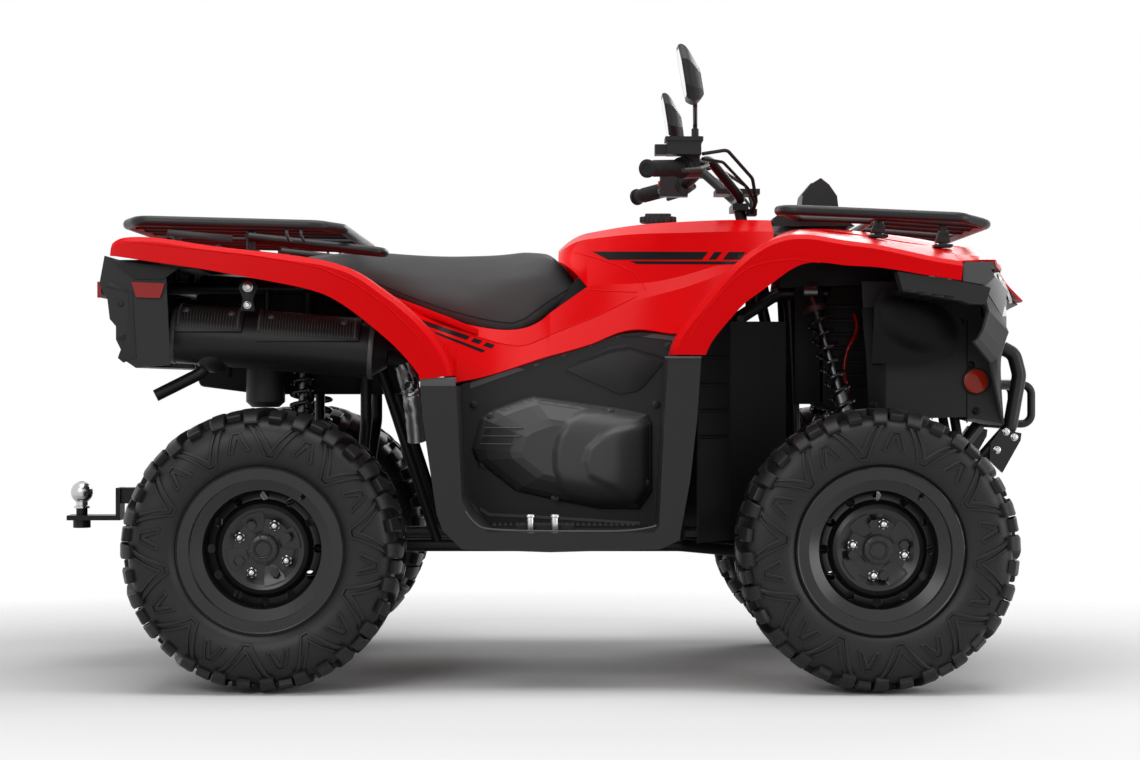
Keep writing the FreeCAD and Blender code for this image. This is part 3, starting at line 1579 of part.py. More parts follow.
def front_rack():
    half = size.rack_half_width
    z = at_z(1014)
    loop = tube("front_rack_loop", [
        (at_x(500), half - 60, z + 2),
        (at_x(512), half, z),
        (at_x(880), half, z - 16),
        (at_x(944), half - 60, z - 26),
        (at_x(944), 0, z - 26),
    ], 40, size.rack_tube_radius)
    bars = [
        rod(f"front_rack_bar_{y}", (at_x(720), y, z - 9), (at_x(942), y, z - 26), size.rack_bar_radius)
        for y in (90, 200, 310)
    ]
    bars.append(rod(
        "front_rack_cross", (at_x(720), 0, z - 9), (at_x(720), half, z - 9), size.rack_bar_radius,
    ))
    bars.append(rod(
        "front_rack_rear", (at_x(506), half - 62, z + 1), (at_x(560), 150, z + 1),
        size.rack_bar_radius,
    ))
    bars.append(rod(
        "front_rack_inner", (at_x(560), 150, z + 1), (at_x(720), 200, z - 9), size.rack_bar_radius,
    ))
    legs = [
        rod("front_rack_leg_1", (at_x(720), 300, z - 9), (at_x(720), 300, at_z(961.3)), 9),
        rod("front_rack_leg_2", (at_x(860), 300, z - 19), (at_x(860), 300, at_z(940.5)), 9),
    ]
    join("front_rack", both([loop] + bars + legs))


def front_end():
    """Nose, lamps, corner caps, bumper and skid plates."""
    nose = plate("nose_side", [(at_x(x), at_z(z)) for x, z in (
        (690, 870),
        (709, 566),
        (921, 573),
        (1001, 557),
        (996, 610),
        (991, 692),
        (1004, 748),
        (1004, 788),
        (952, 790),
        (950, 870),
    )], 246, 250)
    face = side_loft("nose_face", [(y, strip(line, 5, 0)) for y, line in (
        (0, [(1016, 796), (1012, 745), (1000, 690), (1003, 610), (1003, 556)]),
        (160, [(1016, 796), (1012, 745), (1000, 690), (1003, 610), (1003, 556)]),
        (248, [(1008, 794), (1008, 748), (994, 692), (999, 610), (1003, 556)]),
        (330, [(984, 790), (998, 757), (985, 722), (972, 700), (960, 690)]),
        (440, [(925, 846), (936, 800), (925, 760), (915, 742), (905, 734)]),
    )])
    under = side_loft("under_beak", [
        (0, [(1012, 795), (1080, 827), (1037, 869), (1012, 880)]),
        (60, [(1012, 795), (1066, 825), (1030, 866), (1012, 876)]),
        (155, [(1012, 795), (1015, 835), (1014, 862), (1008, 862)]),
    ])
    flare = plate("corner_flare", [(at_x(x), at_z(z)) for x, z in (
        (735, 880),
        (800, 870),
        (868, 859),
        (916, 850),
        (930, 846),
        (920, 812),
        (889, 812),
        (868, 819),
        (747, 840),
    )], 436, 494)
    join("nose_fascia", both([nose, face, under, flare]))
    lamp = side_loft("headlamp", [
        (160.5, [(1006, 864), (1014, 835), (1016.3, 796.4), (985, 796.4), (980, 864)]),
        (248, [(993, 880), (1004, 845), (1008.3, 794.4), (970, 794.4), (962, 880)]),
        (330, [(977, 886), (996, 845), (984.3, 790.4), (950, 790.4), (945, 886)]),
        (434, [(938, 892), (950, 872), (927, 850), (905, 850), (905, 892)]),
    ])
    join("headlamps", both([lamp]))
    cap = plate("corner_cap", [(at_x(x), at_z(z)) for x, z in (
        (872.5, 860),
        (872.5, 896),
        (881, 900.5),
        (938, 900.5),
        (919, 852),
    )], 440, 492)
    join("corner_caps", both([cap]))
    side = tube("bumper_side", [
        (at_x(1010), -200, at_z(724)),
        (at_x(1033), -200, at_z(712)),
        (at_x(1045), -200, at_z(665)),
        (at_x(1024), -200, at_z(548)),
        (front_axle + 255, -175, at_z(462)),
        (front_axle + 255, -175, at_z(410) + size.cross_tube_radius + size.seat_gap),
    ], 40, size.bumper_tube_radius)
    loop = tube("bumper_loop", [
        (at_x(1042), -120, at_z(644)),
        (at_x(1087), -120, at_z(644)),
        (at_x(1087), -120, at_z(556)),
        (at_x(1026), -120, at_z(556)),
    ], 22, 9)
    bar_low = rod("bumper_bar_low", (at_x(1026), -200, at_z(556)), (at_x(1026), 0, at_z(556)), 12)
    bar_high = rod("bumper_bar_high", (at_x(1042), -200, at_z(644)), (at_x(1042), 0, at_z(644)), 12)
    wing = plate("bumper_wing", [(at_x(x), at_z(z)) for x, z in (
        (978, 514),
        (1000, 546),
        (1046, 537),
        (1044, 521),
        (1004, 450),
        (976, 477),
    )], 204, 222)
    join("front_bumper", both([side, loop, bar_low, bar_high, wing]))


def rear_end():
    outer = [
        (-930, 916), (-941, 856), (-924, 824), (-919, 782), (-906, 767), (-906, 739), (-883, 692),
        (-864, 679),
    ]
    inner = [
        (-858, 682), (-877, 694), (-900, 739), (-900, 764), (-913, 780), (-918, 822), (-935, 856),
        (-924, 912),
    ]
    half = size.fender_half_width - 60
    face = plate("rear_face", [(at_x(x), at_z(z)) for x, z in outer + inner], 0, half - 4)
    side = plate(
        "rear_side",
        [(at_x(x), at_z(z)) for x, z in outer + [(-791, 686), (-800, 870), (-820, 880)]], half - 4,
        half,
    )
    join("rear_fascia", both([face, side]))
    lamp = block("tail_lamp", at_x(-949.3), -420, at_z(828), 8, 110, 34)
    corner = plate("tail_corner_lamp", [(at_x(x), at_z(z)) for x, z in (
        (-872, 860),
        (-862, 828),
        (-812, 826),
        (-802, 857),
    )], half + size.seat_gap, half + 7)
    join("tail_lamps", both([lamp, corner]))


def tow_hitch():
    receiver_front = rear_axle - 130 - size.cross_tube_radius - size.seat_gap
    bar = block(
        "hitch_receiver", rear_axle - 385, -20, at_z(372), receiver_front - (rear_axle - 385), 40,
        36,
    )
    drop = block("hitch_drop", rear_axle - 392, -30, at_z(334), 10, 60, 74)
    tongue = block("hitch_tongue", rear_axle - 504, -30, at_z(334), 114, 60, 11)
    centre_x = rear_axle - 475
    neck = rod("hitch_neck", (centre_x, 0, at_z(344)), (centre_x, 0, at_z(385)), 13)
    head = ball("hitch_ball", centre_x, 0, at_z(397), size.hitch_ball_radius)
    nut = rod("hitch_nut", (centre_x, 0, at_z(316)), (centre_x, 0, at_z(335)), 20)
    join("tow_hitch", [bar, drop, tongue, neck, head, nut])


def instrument_pod():
    base = plate("console", [(at_x(x), at_z(z)) for x, z in (
        (506, 998.7),
        (506, 1016),
        (528, 1031),
        (566, 1031),
        (674, 1010),
        (690, 998.7),
    )], -134, 134)
    fin = plate("display", [(at_x(x), at_z(z)) for x, z in (
        (574, 1020),
        (580, 1074),
        (603, 1102),
        (621, 1113),
        (640, 1098),
        (658, 1072),
        (666, 1005),
    )], -62, 62)
    join("instrument_pod", [base, fin])


def fuel_cap():
    keep(rod("fuel_cap", (at_x(254), 0, at_z(1014)), (at_x(254), 0, at_z(1028)), 40), "fuel_cap")


rear_knuckle_y = rear_wheel_y - size.rear_knuckle_inset
front_damper_low = (front_axle + 3, 45 - kingpin_y, at_z(412.5))
rear_damper_low = (rear_axle + 50, 47 - rear_knuckle_y, at_z(405))
bar_x = front_axle - 258
bar_z = at_z(1055) + size.bar_radius + size.seat_gap
bar_bend = (bar_x - 105, -206, bar_z + 57)
bar_tip = (bar_x - 214, -372, bar_z + 40)
panel_face = size.body_half_width - size.panel_wall - 4
rail_out = size.rail_y + 40

frame()
engine()
final_drives()
front_arms()
rear_arms()
rear_knuckles()
half_shafts()
dampers_and_springs()
for side, name in ((-1, "right"), (1, "left")):
    front_knuckle(side, name)
    tie_rod(side, name)
steering_stem()
handlebar()
grips()
control_housings()
control_cables()
mirrors()
rear_body()
front_body()
tank_cover()
seat()
side_panels()
side_covers()
footwell()
foot_pegs()
front_liners()
exhaust()
air_canister()
rear_rack()
front_rack()
front_end()
rear_end()
tow_hitch()
instrument_pod()
fuel_cap()


def check_and_write():
    doc.recompute()
    faults = [item.Name for item in doc.Objects if "Invalid" in item.State or "Error" in item.State]
    for item in parts:
        if item.Shape.isNull() or not item.Shape.isValid() or not item.Shape.Solids:
            faults.append(item.Label)
    if faults:
        raise SystemExit("failed: " + ", ".join(faults))
    os.makedirs("parts", exist_ok=True)
    for item in parts:
        item.Shape.exportStep(f"parts/{item.Label}.step")


check_and_write()
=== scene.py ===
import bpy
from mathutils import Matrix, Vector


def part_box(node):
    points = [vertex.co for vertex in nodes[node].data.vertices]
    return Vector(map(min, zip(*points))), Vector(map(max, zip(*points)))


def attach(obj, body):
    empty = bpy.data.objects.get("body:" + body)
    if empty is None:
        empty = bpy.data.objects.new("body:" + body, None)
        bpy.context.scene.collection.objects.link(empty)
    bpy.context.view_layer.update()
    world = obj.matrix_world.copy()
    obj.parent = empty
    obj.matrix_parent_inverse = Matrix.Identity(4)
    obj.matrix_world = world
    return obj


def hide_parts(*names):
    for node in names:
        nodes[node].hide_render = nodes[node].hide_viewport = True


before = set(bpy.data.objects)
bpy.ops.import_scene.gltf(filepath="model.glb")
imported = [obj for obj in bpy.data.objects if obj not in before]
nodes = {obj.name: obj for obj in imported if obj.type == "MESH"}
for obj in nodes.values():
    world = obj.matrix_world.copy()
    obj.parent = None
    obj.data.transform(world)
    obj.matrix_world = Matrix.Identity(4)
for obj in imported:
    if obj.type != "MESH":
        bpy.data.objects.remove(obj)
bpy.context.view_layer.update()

import math
import random

import bmesh
import bpy
from mathutils import Matrix, Vector
from mathutils.bvhtree import BVHTree

scene = bpy.context.scene

FULL_TURN = 2 * math.pi
SIDES = (("right", -1), ("left", 1))
HUB_Z = 0.298
# Each end's wheels: axle and middle plane, the carcass's squeeze, the turn of the tread and of
# the nuts in degrees, and half the rim's width
WHEELS = {
    "front": dict(x=0.697, y=0.440, squeeze=0.8, tread_turn=-11, nut_turn=-11, half=0.085),
    "rear": dict(x=-0.593, y=0.415, squeeze=0.99, tread_turn=7, nut_turn=-26, half=0.100),
}


# Camera, floor and light

CAMERA_PLACE = (0.052, -5.45, 0.643)
LENS = 75
FILM_WIDTH = 36
HORIZON_SHIFT = 0.0044
FLOOR_RADIUS = 7
AMBIENT = 0.30


def studio_camera():
    data = bpy.data.cameras.new("studio_camera")
    data.lens = LENS
    data.sensor_width = FILM_WIDTH
    data.shift_y = HORIZON_SHIFT
    data.clip_end = 60
    camera = bpy.data.objects.new("studio_camera", data)
    camera.location = CAMERA_PLACE
    camera.rotation_euler = (math.radians(90), 0, 0)
    scene.collection.objects.link(camera)
    scene.camera = camera


def softbox(name, place, aim, size, power):
    data = bpy.data.lights.new(name, "AREA")
    data.shape = "RECTANGLE"
    data.size, data.size_y = size
    data.energy = power
    lamp = bpy.data.objects.new(name, data)
    lamp.location = place
    lamp.rotation_euler = (Vector(aim) - Vector(place)).to_track_quat("-Z", "Y").to_euler()
    scene.collection.objects.link(lamp)


def add_node(tree, kind, sockets=(), **settings):
    """A new shader node with its settings and the values of its own sockets."""
    node = tree.nodes.new("ShaderNode" + kind)
    for name, value in settings.items():
        setattr(node, name, value)
    for name, value in dict(sockets).items():
        node.inputs[name].default_value = value
    return node


def mix_out(tree, share, first, second, end):
    """Mix two shaders by a share and lead them to the tree's output."""
    mix = add_node(tree, "MixShader")
    tree.links.new(share, mix.inputs["Fac"])
    tree.links.new(first.outputs[0], mix.inputs[1])
    tree.links.new(second.outputs[0], mix.inputs[2])
    tree.links.new(mix.outputs[0], add_node(tree, end).inputs["Surface"])


def studio_light():
    """Four softboxes, and a world that looks white but lights the machine less."""
    softbox("softbox_above", (0.1, -0.6, 3.4), (0.05, 0, 0.5), (3.6, 2.2), 74)
    softbox("softbox_near", (-1.6, -3.6, 2.2), (0, 0, 0.55), (1.8, 1.6), 34)
    softbox("softbox_far", (1.8, 3.2, 2.3), (0.1, 0, 0.6), (2.4, 1.4), 42)
    softbox("strip_front", (3.4, -1.6, 1.0), (0.4, -0.2, 0.5), (0.8, 2.2), 24)
    world = bpy.data.worlds.new("studio")
    scene.world = world
    world.use_nodes = True
    tree = world.node_tree
    tree.nodes.clear()
    path = add_node(tree, "LightPath")
    seen = path.outputs["Is Camera Ray"]
    for ray in ("Is Glossy Ray", "Is Transmission Ray"):
        either = add_node(tree, "Math", operation="ADD", use_clamp=True)
        tree.links.new(seen, either.inputs[0])
        tree.links.new(path.outputs[ray], either.inputs[1])
        seen = either.outputs[0]
    plain = add_node(tree, "Background", {"Color": (1, 1, 1, 1), "Strength": AMBIENT})
    white = add_node(tree, "Background", {"Color": (1, 1, 1, 1), "Strength": 1.0})
    mix_out(tree, seen, plain, white, "OutputWorld")
    scene.view_settings.view_transform = "Standard"


def studio_floor():
    """A pale floor that fades into the white backdrop away from the machine."""
    form = bmesh.new()
    bmesh.ops.create_circle(form, cap_ends=True, radius=FLOOR_RADIUS, segments=64)
    mesh = bpy.data.meshes.new("studio_floor")
    form.to_mesh(mesh)
    form.free()
    floor = bpy.data.objects.new("studio_floor", mesh)
    floor.location.z = -0.001
    scene.collection.objects.link(floor)
    paint = bpy.data.materials.new("studio_floor_white")
    paint.use_nodes = True
    tree = paint.node_tree
    tree.nodes.clear()
    place = add_node(tree, "TexCoord")
    fade = add_node(tree, "TexGradient", gradient_type="SPHERICAL")
    stretch = add_node(tree, "Mapping", {"Scale": (0.36, 0.5, 1)}, vector_type="POINT")
    tones = add_node(tree, "ValToRGB")
    tones.color_ramp.elements[0].position = 0.0
    tones.color_ramp.elements[1].position = 0.45
    matt = add_node(tree, "BsdfDiffuse", {"Color": (0.93, 0.93, 0.93, 1)})
    clear = add_node(tree, "BsdfTransparent")
    tree.links.new(place.outputs["Object"], stretch.inputs["Vector"])
    tree.links.new(stretch.outputs[0], fade.inputs["Vector"])
    tree.links.new(fade.outputs["Fac"], tones.inputs["Fac"])
    mix_out(tree, tones.outputs["Color"], clear, matt, "OutputMaterial")
    mesh.materials.append(paint)


# Finishes

def grey(level):
    """A neutral tone with a touch of blue."""
    return level, level, level + 0.001


def finish(
    name, colour, shade, roughness, grain, height,
    metallic=0.0, coat=0.0, cloud=3.0, spread=0.06, leather=False, gloss=0.2,
):
    """A finish with slow colour drift, a fine grain and a roughness that wanders a little.
    colour and shade are its two tones, grain the size of its texture per metre and height
    the texture's depth in metres."""
    paint = bpy.data.materials.new(name)
    paint.use_nodes = True
    tree = paint.node_tree
    shader = tree.nodes["Principled BSDF"]
    shader.inputs["Metallic"].default_value = metallic
    shader.inputs["Coat Weight"].default_value = coat
    shader.inputs["Specular IOR Level"].default_value = gloss
    shader.inputs["Coat Roughness"].default_value = 0.12
    place = add_node(tree, "TexCoord").outputs["Object"]
    drift = add_node(tree, "TexNoise", {"Scale": cloud, "Detail": 5})
    tone = add_node(tree, "Mix", {"A": (*colour, 1), "B": (*shade, 1)}, data_type="RGBA")
    if leather:
        fine = add_node(tree, "TexVoronoi", {"Scale": grain}, feature="DISTANCE_TO_EDGE")
        relief = fine.outputs["Distance"]
    else:
        fine = add_node(tree, "TexNoise", {"Scale": grain, "Detail": 4})
        relief = fine.outputs["Fac"]
    smoothest, roughest = max(0.02, roughness - spread), min(1.0, roughness + spread)
    rough = add_node(tree, "MapRange", {"To Min": smoothest, "To Max": roughest})
    bump = add_node(tree, "Bump", {"Strength": 0.6, "Distance": height})
    for start, end in (
        (place, drift.inputs["Vector"]),
        (drift.outputs["Fac"], tone.inputs["Factor"]),
        (tone.outputs["Result"], shader.inputs["Base Color"]),
        (place, fine.inputs["Vector"]),
        (drift.outputs["Fac"], rough.inputs["Value"]),
        (rough.outputs["Result"], shader.inputs["Roughness"]),
        (relief, bump.inputs["Height"]),
        (bump.outputs["Normal"], shader.inputs["Normal"]),
    ):
        tree.links.new(start, end)
    return paint


red_plastic = finish(
    "red_plastic", (0.80, 0.0005, 0.003), (0.73, 0.0005, 0.002), 0.26, 260, 0.00006, gloss=0.08,
)
black_moulding = finish("black_moulding", grey(0.026), grey(0.019), 0.42, 900, 0.00022)
# Darkest black, for the arch liners and the boxes inside; on the nose's cheeks it is painted shade, darker
# than the fascia round them.
liner_and_shade_black = finish("liner_and_shade_black", grey(0.008), grey(0.006), 0.48, 700, 0.00025, gloss=0.12)
cover_grey = finish("cover_grey", grey(0.060), grey(0.048), 0.36, 900, 0.0002, gloss=0.3)
black_gloss = finish("black_gloss", grey(0.012), grey(0.009), 0.20, 200, 0.00004, coat=0.2)
frame_paint = finish("frame_paint", grey(0.011), grey(0.007), 0.36, 320, 0.00012)
tube_coat = finish("tube_coat", grey(0.018), grey(0.012), 0.34, 1100, 0.0002, gloss=0.3)
rim_paint = finish("rim_paint", grey(0.010), grey(0.007), 0.28, 500, 0.0001, gloss=0.45)
tyre_rubber = finish(
    "tyre_rubber", grey(0.011), grey(0.006), 0.44, 420, 0.0003, cloud=9, spread=0.1, gloss=0.32,
)
seat_cover = finish("seat_cover", grey(0.074), grey(0.062), 0.60, 620, 0.0004, leather=True, gloss=0.15)
seat_thread = finish("seat_thread", grey(0.022), grey(0.016), 0.6, 900, 0.0002)
engine_alloy = finish(
    "engine_alloy", (0.06, 0.06, 0.062), (0.035, 0.035, 0.037), 0.5, 700, 0.0003, metallic=0.6,
)
exhaust_paint = finish(
    "exhaust_paint", (0.016, 0.0155, 0.015), (0.010, 0.010, 0.010), 0.40, 600, 0.0002,
)
cast_iron = finish("cast_iron", grey(0.025), grey(0.014), 0.55, 420, 0.0004, metallic=0.4)
zinc = finish("zinc", (0.62, 0.62, 0.63), (0.50, 0.50, 0.51), 0.26, 500, 0.0001, metallic=1.0)
damper_steel = finish(
    "damper_steel", (0.12, 0.12, 0.125), (0.07, 0.07, 0.075), 0.3, 400, 0.0001, metallic=0.9,
)
grip_rubber = finish("grip_rubber", grey(0.016), grey(0.010), 0.62, 900, 0.0003)
grey_cap = finish(
    "grey_cap", (0.075, 0.075, 0.078), (0.060, 0.060, 0.062), 0.34, 500, 0.0001, gloss=0.4,
)
lamp_red = finish("lamp_red", (0.42, 0.008, 0.006), (0.30, 0.004, 0.004), 0.15, 300, 0.00005, coat=0.4)
lamp_amber = finish(
    "lamp_amber", (0.46, 0.030, 0.006), (0.34, 0.016, 0.004), 0.25, 300, 0.0002, coat=0.2,
)
stripe_black = finish("stripe_black", grey(0.006), grey(0.004), 0.30, 200, 0.00003, gloss=0.1)
shadow_black = finish(
    "shadow_black", (0.003, 0.003, 0.003), (0.002, 0.002, 0.002), 0.80, 300, 0.0001, gloss=0.05,
)
# Pale grey for trim lines and covers; on the side panel's top chamfer it is a painted highlight.
pale_trim_and_highlight_grey = finish("pale_trim_and_highlight_grey", (0.105, 0.105, 0.107), (0.090, 0.090, 0.092), 0.42, 900, 0.0001)
shield_steel = finish("shield_steel", grey(0.085), grey(0.052), 0.42, 700, 0.0002, gloss=0.4)
foil = finish("foil", (0.42, 0.42, 0.43), (0.26, 0.26, 0.27), 0.32, 300, 0.0012, metallic=0.9, cloud=30)
mirror_silver = finish(
    "mirror_silver", (0.80, 0.81, 0.82), (0.78, 0.79, 0.80), 0.04, 30, 0.000002, metallic=1.0, spread=0.01,
)
lamp_glass = finish(
    "lamp_glass", (0.55, 0.57, 0.60), (0.40, 0.42, 0.45), 0.08, 60, 0.00003, metallic=0.4, coat=0.8,
)
lamp_clear = finish(
    "lamp_clear", (0.045, 0.047, 0.050), (0.025, 0.027, 0.030), 0.08, 60, 0.00003, coat=0.8, gloss=0.5,
)


def dress_nodes():
    """Give the CAD nodes their finishes."""
    wheel_names = [f"{end}_{name}" for end in WHEELS for name, _ in SIDES]
    for paint, names in (
        (red_plastic, ("rear_body", "front_body", "tank_cover")),
        (black_moulding, ("footwell_right", "footwell_left", "side_panels", "nose_fascia")),
        (black_moulding, ("rear_fascia", "instrument_pod", "fuel_cap", "control_housings")),
        (black_moulding, ("foot_pegs", "mirrors", "air_canister")),
        (liner_and_shade_black, ("front_liners",)),
        (cover_grey, ("side_covers",)),
        (frame_paint, ("frame", "front_arms", "rear_arms", "steering_stem", "handlebar")),
        (frame_paint, ("tow_hitch", "springs")),
        (tube_coat, ("front_bumper", "front_rack", "rear_rack")),
        (seat_cover, ("seat",)),
        (engine_alloy, ("engine", "final_drives")),
        (exhaust_paint, ("exhaust",)),
        (cast_iron, ("knuckle_front_right", "knuckle_front_left", "rear_knuckles", "half_shafts")),
        (cast_iron, ("tie_rod_right", "tie_rod_left")),
        (rim_paint, [f"rim_{name}" for name in wheel_names]),
        (tyre_rubber, [f"tyre_{name}" for name in wheel_names]),
        (damper_steel, ("dampers",)),
        (grip_rubber, ("grips", "control_cables")),
        (lamp_clear, ("headlamps",)),
        (lamp_red, ("tail_lamps",)),
        (grey_cap, ("corner_caps",)),
    ):
        for name in names:
            mesh = nodes[name].data
            mesh.materials.clear()
            mesh.materials.append(paint)


# Making pieces

def outward(form):
    bmesh.ops.recalc_face_normals(form, faces=form.faces[:])


def add_copy(form, other, matrix=Matrix.Identity(4)):
    """Add another form's faces, moved by a matrix, and let go of it."""
    mesh = bpy.data.meshes.new("passing")
    other.to_mesh(mesh)
    other.free()
    mesh.transform(matrix)
    form.from_mesh(mesh)
    bpy.data.meshes.remove(mesh)


def on_both_sides(form):
    """Add the same pieces on the other side of the machine."""
    copy = form.copy()
    bmesh.ops.scale(copy, vec=(1, -1, 1), verts=copy.verts)
    bmesh.ops.reverse_faces(copy, faces=copy.faces[:])
    add_copy(form, copy)


def piece(
    name, form, paint, smooth=30, both=False, recalc=True,
    body="chassis", replaces=(),
):
    """A finished piece from its form, riding on its body. both adds its mirror image, and
    recalc turns its faces outwards."""
    if both:
        on_both_sides(form)
    if recalc:
        outward(form)
    mesh = bpy.data.meshes.new(name)
    form.to_mesh(mesh)
    form.free()
    mesh.materials.append(paint)
    item = bpy.data.objects.new(name, mesh)
    scene.collection.objects.link(item)
    mesh.shade_smooth()
    if smooth < 180:
        mesh.set_sharp_from_angle(angle=math.radians(smooth))
    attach(item, body)
    if replaces:
        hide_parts(*replaces)
    return item


def facing(place, way):
    """The matrix of a place whose own Z points along a direction."""
    turn = Vector(way).to_track_quat("Z", "Y").to_matrix().to_4x4()
    return Matrix.Translation(Vector(place)) @ turn


def corners(faces):
    return list({vert for face in faces for vert in face.verts})


def drawn(form, faces, way):
    """Extrude faces along a vector. Gives the moved faces."""
    made = bmesh.ops.extrude_face_region(form, geom=faces)["geom"]
    top = [f for f in made if isinstance(f, bmesh.types.BMFace)]
    bmesh.ops.translate(form, vec=way, verts=corners(top))
    return top


def stepped(form, faces, inset, rise):
    """Draw faces in from their rim, then move them up."""
    bmesh.ops.inset_region(form, faces=faces, thickness=inset, use_even_offset=True)
    bmesh.ops.translate(form, vec=(0, 0, rise), verts=corners(faces))


def cut(form, place, way):
    """Cut through a whole form along a plane, keeping both halves."""
    everything = form.verts[:] + form.edges[:] + form.faces[:]
    bmesh.ops.bisect_plane(form, geom=everything, plane_co=place, plane_no=way)


def eased(form, verts, ease, edges=None):
    """Ease a shape's edges. Gives all its corners."""
    edges = edges or list({e for v in verts for e in v.link_edges})
    made = bmesh.ops.bevel(
        form, geom=edges, offset=ease, segments=2, profile=0.5, affect="EDGES", material=-1,
    )
    return list({v for v in verts if v.is_valid} | set(made["verts"]))


def bar(form, start, end, radius, end_radius=None, segments=24, ease=0.0008):
    """A round bar from one point to another, its ends eased."""
    start, end = Vector(start), Vector(end)
    run = end - start
    last = radius if end_radius is None else end_radius
    made = bmesh.ops.create_cone(
        form, cap_ends=True, segments=segments, radius1=radius, radius2=last, depth=run.length,
    )
    verts = made["verts"]
    rims = {e for v in verts for e in v.link_edges if any(len(f.verts) > 4 for f in e.link_faces)}
    verts = eased(form, verts, ease, list(rims))
    bmesh.ops.transform(form, matrix=facing((start + end) / 2, run), verts=verts)


def slab(form, low, high, ease=0.0012, turn=Matrix.Identity(4)):
    """A block with eased edges. turn places it about its own middle."""
    low, high = Vector(low), Vector(high)
    verts = bmesh.ops.create_cube(form, size=1)["verts"]
    bmesh.ops.scale(form, vec=high - low, verts=verts)
    verts = eased(form, verts, ease)
    bmesh.ops.transform(form, matrix=Matrix.Translation((low + high) / 2) @ turn, verts=verts)


def prism(form, outline, near, far, ease=0.001):
    """A flat outline in X and Z, drawn out from one Y to another, with eased edges."""
    root = [form.verts.new((x, near, z)) for x, z in outline]
    top = drawn(form, [form.faces.new(root)], (0, far - near, 0))
    if ease:
        eased(form, root + corners(top), ease)


def turned(form, profile, matrix, steps=48):
    """A turned piece from its section, given as radius and height, about its own Z."""
    line = [form.verts.new((radius, 0, height)) for radius, height in profile]
    edges = [form.edges.new(pair) for pair in zip(line, line[1:])]
    before = set(form.verts) - set(line)
    bmesh.ops.spin(
        form, geom=line + edges, cent=(0, 0, 0), axis=(0, 0, 1), angle=FULL_TURN, steps=steps,
        use_merge=True,
    )
    verts = [v for v in form.verts if v not in before]
    bmesh.ops.remove_doubles(form, verts=verts, dist=0.00001)
    verts = [v for v in form.verts if v not in before]
    bmesh.ops.transform(form, matrix=matrix, verts=verts)


def pipe(form, points, radius, segments=6):
    """A smooth tube along a few points, with closed ends."""
    data = bpy.data.curves.new("passing", "CURVE")
    data.dimensions = "3D"
    data.bevel_depth = radius
    data.bevel_resolution = segments
    data.use_fill_caps = True
    data.resolution_u = 10
    spline = data.splines.new("NURBS")
    spline.points.add(len(points) - 1)
    for knot, point in zip(spline.points, points):
        knot.co = (*point, 1)
    spline.order_u = 3
    spline.use_endpoint_u = True
    holder = bpy.data.objects.new("passing", data)
    mesh = bpy.data.meshes.new_from_object(holder)
    form.from_mesh(mesh)
    bpy.data.meshes.remove(mesh)
    bpy.data.objects.remove(holder)
    bpy.data.curves.remove(data)


def acorn(form, matrix, across, tall):
    """A domed wheel nut: a six-sided foot with a crown."""
    verts = bmesh.ops.create_cone(
        form, cap_ends=True, segments=6, radius1=across, radius2=across, depth=tall * 0.5,
    )["verts"]
    bmesh.ops.translate(form, vec=(0, 0, tall * 0.25), verts=verts)
    bmesh.ops.transform(form, matrix=matrix, verts=eased(form, verts, 0.0006))
    shares = ((0, 0.4), (0.86, 0.45), (0.84, 0.62), (0.72, 0.8), (0.45, 0.94), (0, 1))
    turned(form, [(across * out, tall * up) for out, up in shares], matrix, 24)


def screw(form, place, way, radius):
    """A domed screw head with its washer and a round socket."""
    turn = facing(place, way)
    washer = ((0, 0), (1.25, 0), (1.25, 0.16), (1.1, 0.24), (0, 0.24))
    head = (
        (0, 0.2), (0.92, 0.2), (1, 0.34), (0.9, 0.56), (0.62, 0.7), (0.46, 0.72), (0.42, 0.42),
        (0, 0.40),
    )
    for section in (washer, head):
        turned(form, [(radius * out, radius * up) for out, up in section], turn, 24)


def screws(form, places, radius, way=(0, -1, 0)):
    for place in places:
        screw(form, place, way, radius)


# Laying pieces on the machine's sides

NEAR = -0.7
INWARD = Vector((0, 1, 0))
MOULD_CELL = 0.005
MOULD_LIFT = 0.005
MOULD_RIM = 0.016
MOULD_THICKNESS = 0.004


def metres(outline):
    return [(u / 1000, v / 1000) for u, v in outline]


def surfaces(*names):
    """The faces of CAD nodes, to lay pieces on."""
    form = bmesh.new()
    for name in names:
        form.from_mesh(nodes[name].data)
    tree = BVHTree.FromBMesh(form)
    form.free()
    return tree


def side_spot(tree, u, v, lift=0.0):
    """The spot on the near side at X and Z in millimetres, moved outwards by a lift."""
    spot = tree.ray_cast(Vector((u / 1000, NEAR, v / 1000)), INWARD)[0]
    return spot - Vector((0, lift, 0)) if spot else None


def side_line(tree, line, steps, lift):
    """Spots on the near side along a line in millimetres."""
    spots = []
    for (start_u, start_v), (end_u, end_v) in zip(line, line[1:]):
        for n in range(steps):
            u = start_u + (end_u - start_u) * n / steps
            v = start_v + (end_v - start_v) * n / steps
            spots.append(side_spot(tree, u, v, lift))
    return [spot for spot in spots if spot]


def cells(outline, size):
    """An outline in X and Z, in millimetres, beside the machine and cut into cells."""
    flat = bmesh.new()
    flat.faces.new([flat.verts.new((u, NEAR, v)) for u, v in metres(outline)])
    for way in (Vector((1, 0, 0)), Vector((0, 0, 1))):
        reach = [v.co.dot(way) for v in flat.verts]
        low = min(reach)
        for n in range(1, int((max(reach) - low) / size) + 1):
            cut(flat, way * (low + n * size), way)
    return flat


